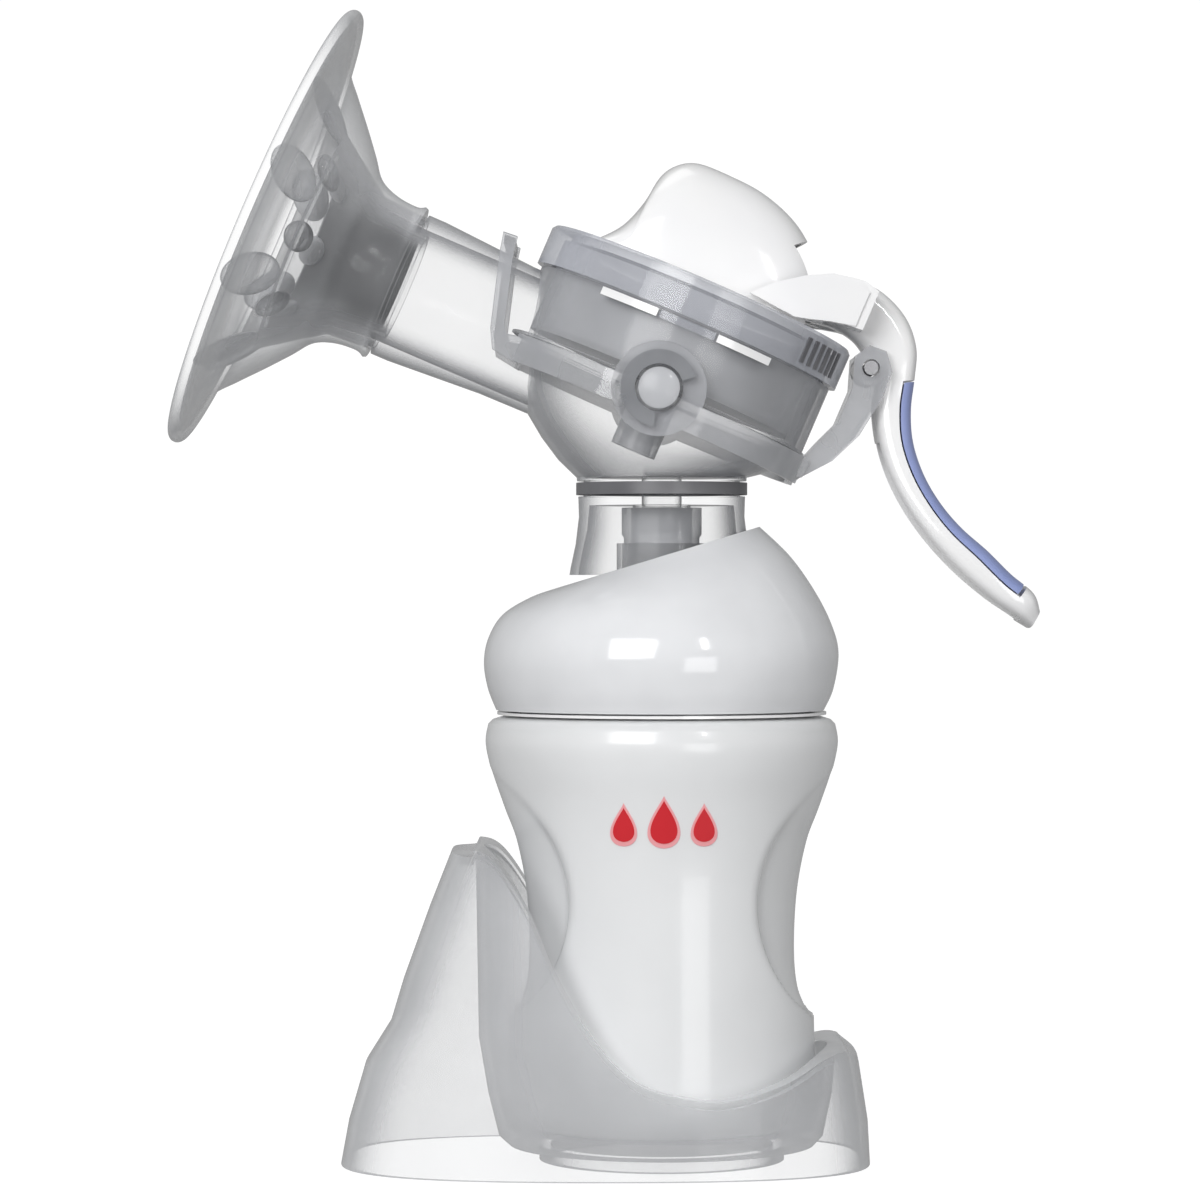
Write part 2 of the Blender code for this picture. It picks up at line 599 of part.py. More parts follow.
def build_handle(mats, parent):
    handle = mesh_object("handle", from_pivot(handle_rings(29, 0, 1, 0, 0, 0)), None, parent)
    # shoulders on both sides of the dome and the tongue that lifts the stem
    wing = [(8.0, 22.6), (11.4, 26.0), (15.8, 29.2), (20.4, 31.6), (25.0, 32.4), (27.5, 31.0),
            (27.5, 24.5), (23.0, 23.5), (19.4, 22.4), (17.0, 21.8)]
    for side in (-1, 1):
        low, high = sorted((side * 12.2, side * 14.6))
        boolean(handle, pivot_plate("wing", wing, low, high, parent), "UNION")
    web = [(22.4, 31.8), (26.0, 32.6), (29.0, 31.8), (29.0, 24.4), (25.0, 24.0), (22.4, 23.8)]
    boolean(handle, pivot_plate("web", web, -14.0, 14.0, parent), "UNION")
    for side in (-1, 1):
        low, high = sorted((side * 2.9, side * 5.2))
        fork = [(-3.4, 21.2), (22.0, 22.9), (24.0, 31.0), (19.0, 31.0), (9.0, 27.6), (-3.4, 27.8)]
        boolean(handle, pivot_plate("fork", fork, low, high, parent), "UNION")
    boolean(handle, pivot_plate("hub", [(PIVOT[0] + 3 * math.cos(a * math.pi / 8),
                                         PIVOT[1] + 3 * math.sin(a * math.pi / 8)) for a in range(16)],
                                -HANDLE_HALF, HANDLE_HALF, parent), "UNION")
    slot = [(-6.0, STEM_PIN_Z - 1.4), (2.2, STEM_PIN_Z - 1.4), (2.2, STEM_PIN_Z + 1.6),
            (-6.0, STEM_PIN_Z + 1.6)]
    boolean(handle, pivot_plate("slot", slot, -8.0, 8.0, parent), "DIFFERENCE")
    channel = mesh_object("channel", from_pivot(handle_rings(15, 0.50, 0.94, 4.0, -3.0, 1.8)), None, parent)
    boolean(handle, channel, "DIFFERENCE")
    recess = mesh_object("recess", from_pivot(handle_rings(17, GRIP_FROM, GRIP_TO, -2.0, 0, -1.0)), None,
                         parent)
    keep = mesh_object("keep", from_pivot(handle_rings(29, 0, 1, GRIP_T + CLEAR, -4, -3.0)), None, parent)
    boolean(recess, keep, "DIFFERENCE")
    boolean(handle, recess, "DIFFERENCE")
    bore = lathe("bore", [(0, -12), (1.55, -12), (1.55, 12), (0, 12)], axis="Y", segments=20, parent=parent)
    boolean(handle, bore, "DIFFERENCE")
    handle.data.materials.append(mats["white"])
    tidy(handle)
    # soft grip let into the handle's back
    inset = 0.006
    grip = mesh_object("handle_grip", from_pivot(handle_rings(17, GRIP_FROM + inset, GRIP_TO - inset,
                                                              0, 0, 0)), None, parent)
    keep = mesh_object("keep", from_pivot(handle_rings(29, 0, 1, GRIP_T, -4, -3.0)), None, parent)
    boolean(grip, keep, "DIFFERENCE")
    grip.data.materials.append(mats["grip"])
    tidy(grip)


def main():
    clear_scene()
    mats = {
        "clear": material("clear_plastic", (0.80, 0.81, 0.84), 0.08, alpha=0.45),
        "frosted": material("frosted_plastic", (0.78, 0.79, 0.81), 0.40),
        "ring": material("ring_plastic", (0.70, 0.72, 0.78), 0.20, alpha=0.6),
        "silicone": material("silicone", (0.86, 0.87, 0.89), 0.35, alpha=0.6),
        "white": material("white_plastic", (0.92, 0.92, 0.92), 0.18),
        "collar": material("collar_plastic", (0.90, 0.91, 0.93), 0.20),
        "bottle": material("bottle_plastic", (0.94, 0.95, 0.96), 0.25, alpha=0.8),
        "stand": material("stand_plastic", (0.86, 0.87, 0.88), 0.20, alpha=0.6),
        "grip": material("grip_rubber", (0.27, 0.33, 0.60), 0.55),
        "dark": material("seal_rubber", (0.25, 0.25, 0.26), 0.50),
        "steel": material("steel", (0.60, 0.60, 0.62), 0.25, metallic=1.0),
    }
    base = empty("base_frame", (AXIS_X, 0, 0))
    head = empty("head_frame", HUB, TILT_DEG)
    handle_frame = empty("handle_frame", (PIVOT[0], 0, PIVOT[1]), parent=head)
    build_stand(mats["stand"], base)
    build_bottle(mats["bottle"], base)
    build_collar(mats["collar"], mats["silicone"], base)
    build_neck(mats, base)
    build_body(mats["clear"], head)
    build_cushion(mats["silicone"], head)
    build_drum_parts(mats, head)
    build_diaphragm(mats, head)
    build_stem(mats, head)
    build_dome(mats["white"], head)
    build_yoke(mats, head)
    build_boss_trim(mats, head)
    build_handle(mats, handle_frame)


main()
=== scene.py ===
"""Looks of the manual breast pump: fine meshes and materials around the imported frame.

Lengths are in mm in the drawing functions, as in the design, and in metres in Blender.
"""

import json
import math

import bmesh
import bpy
from mathutils import Matrix, Vector

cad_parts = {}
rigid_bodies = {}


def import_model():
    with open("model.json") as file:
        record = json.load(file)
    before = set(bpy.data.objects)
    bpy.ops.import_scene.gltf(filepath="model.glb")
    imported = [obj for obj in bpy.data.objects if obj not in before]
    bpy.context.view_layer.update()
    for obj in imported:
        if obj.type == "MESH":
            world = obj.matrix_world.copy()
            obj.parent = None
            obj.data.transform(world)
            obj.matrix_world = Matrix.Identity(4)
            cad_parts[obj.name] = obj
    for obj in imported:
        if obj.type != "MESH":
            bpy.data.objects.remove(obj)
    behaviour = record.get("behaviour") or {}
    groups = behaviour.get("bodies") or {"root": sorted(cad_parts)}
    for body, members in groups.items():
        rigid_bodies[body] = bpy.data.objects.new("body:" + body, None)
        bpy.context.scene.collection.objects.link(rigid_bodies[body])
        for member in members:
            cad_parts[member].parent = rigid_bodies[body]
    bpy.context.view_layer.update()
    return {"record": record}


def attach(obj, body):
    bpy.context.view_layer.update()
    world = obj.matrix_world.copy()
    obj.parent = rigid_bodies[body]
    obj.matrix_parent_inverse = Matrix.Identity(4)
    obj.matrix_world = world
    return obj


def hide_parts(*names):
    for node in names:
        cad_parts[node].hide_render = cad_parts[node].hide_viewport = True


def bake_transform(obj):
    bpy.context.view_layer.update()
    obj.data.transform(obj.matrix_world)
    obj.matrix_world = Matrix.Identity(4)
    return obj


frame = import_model()

MM = 0.001
CLEAR = 0.3                    # gap kept between touching pieces, mm

# Driving dimensions, mm
AXIS_X = 10.6                  # bottle axis, measured from the part's origin
HUB = (AXIS_X - 0.9, 0.0, 137.3)
TILT_DEG = 23.3                # lean of the pump head towards the handle
DRUM_R = 28.1                  # clear drum wall, outside
DRUM_WALL = 1.5
DRUM_TOP = 13.1
RING_R = 29.1                  # cover ring
RING_TOP = 20.7
TUBE_R = 13.5                  # funnel tube at its collar
RIM_R = 42.1                   # breast cushion rim
RIM_U = -77.6                  # plane of the rim along the head's X
NECK_R = 15.3
NECK_Z = 122.4                 # underside of the bowl
BOTTLE_R = 31.7
BOTTLE_BASE = 6.0
BOTTLE_NECK_R = 25.5
SEAM_Z = 80.4                  # joint between collar and bottle
BOSS_R = 3.9
PIVOT = (33.2, 19.2)           # handle axle in the head's X and Z
STEM_PIN_Z = 25.5
HANDLE_HALF = 6.0              # half width of the handle at its axle
STAND_WALL = 1.6
GRIP_FROM, GRIP_TO = 0.36, 0.90    # share of the handle's length that the grip covers
GRIP_T = 1.7
SEGMENTS = 128                 # facets round a turned piece
SHARP_DEG = 35                 # edges steeper than this are shaded sharp


def empty(name, location, tilt_deg=0.0, parent=None):
    obj = bpy.data.objects.new(name, None)
    bpy.context.collection.objects.link(obj)
    obj.location = Vector(location) * MM
    obj.rotation_euler = (0.0, math.radians(tilt_deg), 0.0)
    obj.parent = parent
    return obj


def mesh_object(name, rings, mat, parent=None, closed=False):
    """Skin a list of point loops; a loop of one point is a pole."""
    bm = bmesh.new()
    loops = [[bm.verts.new(Vector(p) * MM) for p in ring] for ring in rings]
    pairs = list(zip(loops, loops[1:]))
    if closed:
        pairs.append((loops[-1], loops[0]))
    for low, high in pairs:
        count = max(len(low), len(high))
        for i in range(count):
            j = (i + 1) % count
            if len(low) == 1:
                bm.faces.new((low[0], high[j], high[i]))
            elif len(high) == 1:
                bm.faces.new((low[i], low[j], high[0]))
            else:
                bm.faces.new((low[i], low[j], high[j], high[i]))
    if not closed:
        for ring in (loops[0], loops[-1]):
            if len(ring) > 2:
                bm.faces.new(ring)
    bmesh.ops.recalc_face_normals(bm, faces=bm.faces)
    mesh = bpy.data.meshes.new(name)
    bm.to_mesh(mesh)
    bm.free()
    mesh.shade_smooth()
    mesh.set_sharp_from_angle(angle=math.radians(SHARP_DEG))
    obj = bpy.data.objects.new(name, mesh)
    bpy.context.collection.objects.link(obj)
    if mat:
        mesh.materials.append(mat)
    obj.parent = parent
    return obj


def circle(radius, height, segments=SEGMENTS, axis="Z", centre=(0.0, 0.0)):
    """Points of a circle around an axis; centre is its place across that axis."""
    points = []
    for i in range(segments):
        angle = 2 * math.pi * i / segments
        a = centre[0] + radius * math.cos(angle)
        b = centre[1] + radius * math.sin(angle)
        if axis == "Z":
            points.append((a, b, height))
        elif axis == "X":
            points.append((height, a, b))
        else:
            points.append((a, height, b))
    return points


def lathe(name, profile, mat=None, parent=None, axis="Z", segments=SEGMENTS, centre=(0.0, 0.0)):
    """Turn a closed outline of (radius, height) points; radius 0 makes a pole."""
    rings = []
    for radius, height in profile:
        if radius == 0:
            rings.append(circle(0.0, height, 1, axis, centre))
        else:
            rings.append(circle(radius, height, segments, axis, centre))
    return mesh_object(name, rings, mat, parent, closed=profile[0][0] != 0)


def curve(points, count):
    """Smooth Catmull-Rom line through a few points."""
    padded = [points[0]] + list(points) + [points[-1]]
    spans = len(points) - 1
    result = []
    for i in range(count):
        t = spans * i / (count - 1)
        k = min(int(t), spans - 1)
        f = t - k
        p0, p1, p2, p3 = (Vector(p) for p in padded[k:k + 4])
        value = 2 * p1 + (p2 - p0) * f
        value += (2 * p0 - 5 * p1 + 4 * p2 - p3) * f * f
        value += (3 * p1 - p0 - 3 * p2 + p3) * f ** 3
        result.append(value * 0.5)
    return result


def sections(left, right, offset=0.0):
    """Round loops spanned between a left and a right outline in the XZ plane."""
    rings = []
    for a, b in zip(left, right):
        middle = (a + b) / 2
        along = (b - a) / 2
        reach = along.length - offset
        along = along.normalized()
        ring = []
        for i in range(SEGMENTS):
            angle = 2 * math.pi * i / SEGMENTS
            x, y = math.cos(angle) * reach, math.sin(angle) * reach
            ring.append((middle.x + along.x * x, y, middle.y + along.y * x))
        rings.append(ring)
    return rings


def plate(name, outline, y_low, y_high, mat=None, parent=None):
    """An outline in the XZ plane, extruded along Y."""
    rings = [[(x, y, z) for x, z in outline] for y in (y_low, y_high)]
    return mesh_object(name, rings, mat, parent)


def boolean(obj, tool, operation):
    """Apply a Boolean and remove the tool."""
    bpy.context.view_layer.update()
    mod = obj.modifiers.new("boolean", "BOOLEAN")
    mod.operation = operation
    mod.solver = "EXACT"
    mod.object = tool
    graph = bpy.context.evaluated_depsgraph_get()
    mesh = bpy.data.meshes.new_from_object(obj.evaluated_get(graph))
    obj.modifiers.clear()
    obj.data = mesh
    bpy.data.objects.remove(tool, do_unlink=True)
    return obj


def tidy(obj):
    """Merge slivers left by Booleans and reset the shading."""
    bm = bmesh.new()
    bm.from_mesh(obj.data)
    bmesh.ops.remove_doubles(bm, verts=bm.verts, dist=0.00001)
    bmesh.ops.dissolve_degenerate(bm, edges=bm.edges, dist=0.00001)
    bm.to_mesh(obj.data)
    bm.free()
    obj.data.shade_smooth()
    obj.data.set_sharp_from_angle(angle=math.radians(SHARP_DEG))
    return obj


# ---------------------------------------------------------------- stand and bottle

def stand_outline(offset):
    """Left and right side lines of the stand, drawn in by offset."""
    left = [(-57.4, 0), (-56.0, 7.7), (-53.0, 18), (-48.6, 25), (-46.2, 33), (-41.5, 46),
            (-36.0, 60)]
    right = [(37.2, 0), (36.8, 7.7), (35.2, 18), (33.6, 25), (33.4, 33), (33.4, 46), (33.4, 60)]
    left = [Vector((x + offset, z)) for x, z in left]
    right = [Vector((x - offset, z)) for x, z in right]
    return left, right


def stand_body(name, offset, base, half_depth):
    """Rounded oblong that narrows upwards, drawn in by offset."""
    left, right = stand_outline(offset)
    rings = []
    for a, b in zip(left, right):
        middle, reach = (a.x + b.x) / 2, (b.x - a.x) / 2
        depth = half_depth - offset - 0.035 * a.y
        ring = []
        for i in range(SEGMENTS):
            angle = 2 * math.pi * i / SEGMENTS
            c, s = math.cos(angle), math.sin(angle)
            x = math.copysign(abs(c) ** 0.78, c) * reach
            y = math.copysign(abs(s) ** 0.62, s) * depth
            ring.append((middle + x, y, max(a.y, base)))
        rings.append(ring)
    return mesh_object(name, rings, None)


def rim_cutter(name, drop):
    """Everything above the sweeping rim of the stand, lowered by drop."""
    rim = [(-70, 62), (-37, 55.6), (-33, 56.6), (-28.8, 54.2), (-23.2, 45.4), (-18, 33.9),
           (-11.3, 23.2), (-4, 16.6), (5.4, 14.1), (12.1, 13.9), (21, 16.4), (28, 20.1),
           (32, 21), (34.5, 19.6), (50, 12)]
    edge = [(p.x, p.y - drop) for p in curve(rim, 140)]
    return plate(name, edge + [(50, 80), (-70, 80)], -60, 60)


def build_stand(mat, parent):
    half_depth = 34.0
    stand = stand_body("bottle_stand", 0.0, 0.0, half_depth)
    hollow = stand_body("hollow", STAND_WALL, -1.0, half_depth)
    well_left = [Vector(p) for p in [(-27.4, 2.7), (-29.3, 4.4), (-31.2, 12), (-32.9, 22), (-33.6, 62)]]
    well_right = [Vector(p) for p in [(27.4, 2.7), (29.0, 4.4), (30.6, 12), (31.4, 22), (31.9, 62)]]
    jacket = mesh_object("jacket", sections(well_left, well_right), None)
    boolean(hollow, rim_cutter("lower_rim", STAND_WALL), "DIFFERENCE")
    boolean(hollow, jacket, "DIFFERENCE")
    floor_z = BOTTLE_BASE - CLEAR
    inner_left = [Vector((p.x + STAND_WALL, max(p.y, floor_z))) for p in well_left[1:]]
    inner_right = [Vector((p.x - STAND_WALL, max(p.y, floor_z))) for p in well_right[1:]]
    well = mesh_object("well", sections(inner_left, inner_right), None)
    boolean(stand, rim_cutter("rim", 0.0), "DIFFERENCE")
    boolean(stand, well, "DIFFERENCE")
    boolean(stand, hollow, "DIFFERENCE")
    foot = lathe("foot", [(20.0, 0.0), (22.0, 0.0), (22.0, 4.2), (20.0, 4.2)])
    boolean(stand, foot, "UNION")
    stand.data.materials.append(mat)
    stand.parent = parent
    return tidy(stand)


BOTTLE_FULL = [(27.4, 10), (27.5, 19), (27.3, 30), (27.2, 40), (27.4, 50), (28.2, 58), (29.4, 65),
               (31.0, 71), (BOTTLE_R, 75), (31.2, 78.2)]
BOTTLE_WAIST = [(27.4, 10), (27.4, 19), (26.2, 26), (24.4, 31), (23.8, 38), (24.3, 48), (26.0, 57),
                (28.2, 63), (30.6, 70), (BOTTLE_R, 75), (31.2, 78.2)]


def height_lookup(points):
    """A function that gives the radius of a smooth side line at any height."""
    line = curve([(r, z) for r, z in points], 120)

    def radius_at(z):
        for low, high in zip(line, line[1:]):
            if low.y <= z <= high.y:
                share = (z - low.y) / max(high.y - low.y, 1e-6)
                return low.x + (high.x - low.x) * share
        return line[0].x if z < line[0].y else line[-1].x
    return radius_at


FULL_AT, WAIST_AT = height_lookup(BOTTLE_FULL), height_lookup(BOTTLE_WAIST)


def bottle_radius(angle, z):
    """Outer radius: full body, scooped on both sides for the hand."""
    side = abs(math.atan2(math.sin(angle), abs(math.cos(angle))))
    span = 1 - ((z - 48.0) / 22.0) ** 2
    edge = math.radians(50) * math.sqrt(max(span, 0.0))
    share = min(max((edge - side) / math.radians(9) + 0.5, 0.0), 1.0)
    share = share * share * (3 - 2 * share)
    return FULL_AT(z) + (WAIST_AT(z) - FULL_AT(z)) * share


def build_bottle(mat, parent):
    base, wall, segments = BOTTLE_BASE, 1.4, 160
    heights = [base + 4 + (78.2 - base - 4) * i / 90 for i in range(91)]

    def ring(z, inset):
        points = []
        for i in range(segments):
            angle = 2 * math.pi * i / segments
            radius = bottle_radius(angle, z) - inset
            points.append((radius * math.cos(angle), radius * math.sin(angle), z))
        return points
    rings = [circle(0, base, 1), circle(23.6, base, segments), circle(24.6, base + 0.1, segments),
             circle(26.2, base + 1.0, segments), circle(27.1, base + 2.4, segments)]
    rings += [ring(z, 0.0) for z in heights]
    rings += [circle(r, z, segments) for r, z in ((30.4, 79.0), (28.8, 79.5), (BOTTLE_NECK_R, 79.8))]
    for z in (84.0, 87.0, 90.0):
        rings += [circle(BOTTLE_NECK_R, z - 0.9, segments), circle(BOTTLE_NECK_R + 0.9, z - 0.2, segments),
                  circle(BOTTLE_NECK_R + 0.9, z + 0.2, segments), circle(BOTTLE_NECK_R, z + 0.9, segments)]
    rings += [circle(BOTTLE_NECK_R, 93.0, segments), circle(BOTTLE_NECK_R - wall, 93.0, segments),
              circle(BOTTLE_NECK_R - wall, 79.2, segments)]
    rings += [ring(z, wall) for z in reversed(heights[:-2])]
    rings += [circle(24.0, base + wall, segments), circle(0, base + wall, 1)]
    return mesh_object("bottle", rings, mat, parent)


def build_collar(mat, seal_mat, parent):
    left = [(-29.8, SEAM_Z + 0.3), (-31.3, 84.6), (-32.0, 89.2), (-31.2, 93.6), (-28.6, 97.8),
            (-23.6, 100.9), (-18.8, 102.6)]
    right = [(29.2, SEAM_Z + 0.3), (30.9, 84.6), (31.8, 91), (30.4, 96.4), (27.3, 102.4), (23.0, 108.4),
             (17.6, 113.6)]
    left, right = curve(left, 48), curve(right, 48)
    outside = sections(left, right)
    inside = sections(left, right, offset=1.7)
    collar = mesh_object("adapter_collar", outside + inside[::-1], mat, parent, closed=True)
    seal = [(26.0, SEAM_Z - 0.5), (29.6, SEAM_Z - 0.5), (29.6, SEAM_Z), (26.0, SEAM_Z)]
    lathe("bottle_seal", seal, seal_mat, parent)
    return collar


# ---------------------------------------------------------------- pump head

def to_head(x, y, z):
    """A point given from the bottle axis, in the head's own frame."""
    tilt = math.radians(TILT_DEG)
    dx, dz = x + AXIS_X - HUB[0], z - HUB[2]
    return (dx * math.cos(tilt) - dz * math.sin(tilt), y, dx * math.sin(tilt) + dz * math.cos(tilt))


def bowl_rings(offset):
    """From the drum's seam down to the neck and its flared skirt."""
    left = [(-26.7, 148.4), (-26.2, 143.6), (-25.7, 138.9), (-24.2, 134), (-21.6, 129.6),
            (-18.6, 125.6), (-15.3, NECK_Z)]
    right = [(24.9, 126.2), (24.3, 125.5), (23.5, 124.9), (22.2, 124.4), (20.2, 123.7),
             (17.8, 123.0), (15.3, NECK_Z)]
    skirt = [(15.0, 118.6), (14.9, 115.4), (15.5, 110.4), (16.4, 106.2), (16.6, 104.9)]
    left += [(-r, z) for r, z in skirt]
    right += [(r, z) for r, z in skirt]
    left, right = [Vector(p) for p in left], [Vector(p) for p in right]
    rings = sections(left, right, offset)
    return [[to_head(*p) for p in ring] for ring in rings]


def build_body(mat, parent):
    wall = DRUM_WALL
    drum = [circle(DRUM_R, DRUM_TOP), circle(DRUM_R, 6.0)]
    body = mesh_object("pump_body", drum + bowl_rings(0.0), mat, parent)
    # funnel tube, collar and the hard cone inside the cushion
    cone = [(-68.4, 19.6), (-62.5, 15.5), (-58.5, 12.9), (-52.0, 12.4)]
    tube = [(-50.2, 12.4), (-50.2, TUBE_R), (-47.0, TUBE_R), (-29.4, 12.4), (-20.0, 12.3)]
    outside = [(r, u) for u, r in cone + tube]
    solid = lathe("tube", [(0, -68.4)] + outside + [(0, -20.0)], axis="X", parent=parent)
    boolean(body, solid, "UNION")
    for side in (-1, 1):
        boss = lathe("boss", [(0, side * 25.0), (BOSS_R, side * 25.0), (BOSS_R, side * 32.0),
                              (0, side * 32.0)], axis="Y", segments=64, parent=parent)
        boolean(body, boss, "UNION")
    groove = [(NECK_R + 2, 119.0), (NECK_R - 1.2, 119.0), (NECK_R - 1.2, 121.8), (NECK_R + 2, 121.8)]
    rings = [[to_head(*p) for p in circle(r, z)] for r, z in groove]
    boolean(body, mesh_object("groove", rings, None, parent, closed=True), "DIFFERENCE")
    # bore of the tube and the inside of bowl and drum
    bore = [(0, -70.8), (20.7, -70.8), (18.9, -68.4), (14.6, -62.5), (11.7, -58.5), (10.9, -52.0),
            (10.9, -20.0), (0, -20.0)]
    boolean(body, lathe("bore", bore, axis="X", parent=parent), "DIFFERENCE")
    room = [circle(DRUM_R - wall, DRUM_TOP + 2), circle(DRUM_R - wall, 6.0)] + bowl_rings(wall)[:7]
    boolean(body, mesh_object("room", room, None, parent), "DIFFERENCE")
    under = [[to_head(*p) for p in circle(r, z)]
             for r, z in [(13.0, 117.4), (13.4, 113), (14.0, 110.4), (14.9, 106.2), (15.1, 103)]]
    boolean(body, mesh_object("under", under, None, parent), "DIFFERENCE")
    drain = [[to_head(*p) for p in circle(r, z, 24)] for r, z in [(3.6, 124.0), (3.6, 110.0)]]
    spigot = [[to_head(*p) for p in circle(5.2, z, 24)] for z in (118.6, 112.5)]
    boolean(body, mesh_object("spigot", spigot, None, parent), "UNION")
    boolean(body, mesh_object("drain", drain, None, parent), "DIFFERENCE")
    return tidy(body)


def build_cushion(mat, parent):
    """Soft liner: folds over the hard cone, lines its inside and ends in a rolled rim."""
    rim, bead = RIM_U, 1.15
    outside = curve([(14.6, -51.4), (14.0, -53.0), (14.4, -57.0), (16.0, -60.6), (19.4, -63.3),
                     (23.4, -66.6), (27.9, -70.5), (31.8, rim + 3.9), (36.4, rim + 2.7),
                     (39.6, rim + 2.4)], 60)
    roll = []
    for step in range(21):
        angle = math.radians(150 - 260 * step / 20)
        roll.append((RIM_R - bead + bead * math.sin(angle), rim + bead - bead * math.cos(angle)))
    inside = curve([(38.6, rim + 1.4), (35.4, rim + 1.6), (30.8, rim + 2.7), (25.6, rim + 4.0),
                    (20.4, rim + 5.6), (16.3, -67.0), (12.4, -62.0), (9.9, -57.6), (9.2, -49.0)], 60)
    pocket = [(10.5, -49.0), (11.0, -58.3), (19.0, -69.0), (20.8, -69.4), (16.1, -62.9),
              (13.4, -58.9), (12.9, -52.0), (12.9, -50.9), (14.4, -50.9)]
    profile = [tuple(p[:2]) for p in outside + roll + inside + pocket]
    return lathe("breast_cushion", profile, mat, parent, axis="X")


def build_neck(mats, parent):
    """Pieces around and under the neck, on the bottle axis."""
    ring = [(NECK_R - 0.9, 119.3), (NECK_R + 0.1, 119.3), (NECK_R + 0.1, 121.5), (NECK_R - 0.9, 121.5)]
    sleeve = [(5.5, 117.0), (7.2, 117.0), (7.2, 112.2), (6.8, 111.6), (6.8, 104.0), (5.5, 104.0)]
    duck = [(7.1, 110.6), (8.1, 110.6), (8.1, 101.0), (4.0, 96.0), (1.0, 92.0), (0.5, 92.0),
            (3.0, 96.2), (6.4, 102.0), (7.1, 103.7)]
    lathe("neck_ring", ring, mats["dark"], parent)
    lathe("valve_sleeve", sleeve, mats["frosted"], parent, segments=96)
    lathe("duckbill_valve", duck, mats["silicone"], parent, segments=96)


def build_drum_parts(mats, parent):
    """Frosted diaphragm cup and the cover ring."""
    cup = [(25.7, 18.4), (25.7, 2.1), (4.2, 2.1), (4.2, -10.9), (3.0, -10.9), (3.0, 3.3),
           (24.5, 3.3), (24.5, 18.4)]
    lathe("diaphragm_cup", cup, mats["frosted"], parent)
    ring = [(RING_R - 0.5, RING_TOP), (RING_R, RING_TOP - 0.6), (RING_R, 13.4), (26.2, 13.4),
            (26.2, 18.8), (25.0, 18.8), (25.0, RING_TOP)]
    lathe("cover_ring", ring[::-1], mats["ring"], parent)


def build_diaphragm(mats, parent):
    outline = [(0, 4.6), (9.6, 4.6), (17.0, 4.2), (21.6, 5.2), (23.4, 9.0), (24.0, 17.2), (24.2, 17.6),
               (24.2, 18.7), (22.9, 18.7), (22.6, 9.4), (20.9, 6.4), (17.0, 5.4), (9.6, 5.8), (0, 5.8)]
    return lathe("diaphragm", outline, mats["silicone"], parent)


def build_stem(mats, parent):
    plate_low, pin_z = 6.1, STEM_PIN_Z
    stem = [(0, plate_low), (9.0, plate_low), (9.0, plate_low + 1.5), (2.9, plate_low + 2.0),
            (2.4, plate_low + 4.0), (2.4, pin_z + 2.4), (0, pin_z + 2.4)]
    obj = lathe("diaphragm_stem", stem, mats["white"], parent, segments=64)
    hole_r = 1.3
    hole = lathe("hole", [(0, -5), (hole_r, -5), (hole_r, 5), (0, 5)], axis="Y", segments=48,
                 centre=(0, pin_z), parent=parent)
    boolean(obj, hole, "DIFFERENCE")
    pin = [(0, -6.8), (1.0, -6.8), (1.0, 6.8), (0, 6.8)]
    lathe("stem_pin", pin, mats["steel"], parent, axis="Y", segments=48, centre=(0, pin_z))
    return tidy(obj)


def hump_rings(offset, low):
    """Arches across the head, from the dome's nose to its open back."""
    crest = [(-20.9, 21.4), (-17.6, 25.6), (-15.7, 31.0), (-14.9, 36.2), (-13.0, 39.3), (-9.5, 41.2),
             (-3.0, 41.4), (3.0, 40.9), (8.7, 39.2), (13.0, 36.8), (16.6, 33.4), (19.2, 29.0)]
    rings = []
    for point in curve(crest, 56):
        u, top = point.x, point.y - offset
        spread = 1 - ((u + 1.0) / 24.0) ** 4
        half = 11.6 * math.sqrt(max(spread, 0.04)) - offset
        if u < -10:
            u += offset
        top = max(top, low + 0.5)
        ring = []
        for i in range(49):
            angle = math.pi * i / 48
            rise = math.sin(angle) ** 0.75
            ring.append((u, -half * math.cos(angle), low + (top - low) * rise))
        rings.append(ring)
    return rings


def build_dome(mat, parent):
    disc = [(0, 19.1), (24.7, 19.1), (24.7, RING_TOP), (0, RING_TOP)]
    dome = lathe("dome_cover", disc, mat, parent)
    boolean(dome, mesh_object("hump", hump_rings(0.0, 20.2), None, parent), "UNION")
    boolean(dome, mesh_object("room", hump_rings(1.5, 18.0), None, parent), "DIFFERENCE")
    door = plate("door", [(12, 21.0), (30, 21.0), (30, 37.0), (15, 37.0), (12, 34.0)], -7.5, 7.5, None,
                 parent)
    boolean(dome, door, "DIFFERENCE")
    return tidy(dome)


def strap_rings(path, half_height, thickness):
    """Loops of a flat strap; each path entry is (point, outward direction, up direction)."""
    rings = []
    for point, out, up in path:
        point, out, up = Vector(point), Vector(out).normalized(), Vector(up).normalized()
        corners = [(0, -1), (1, -1), (1, 1), (0, 1)]
        rings.append([point + out * thickness * a + up * half_height * b for a, b in corners])
    return rings


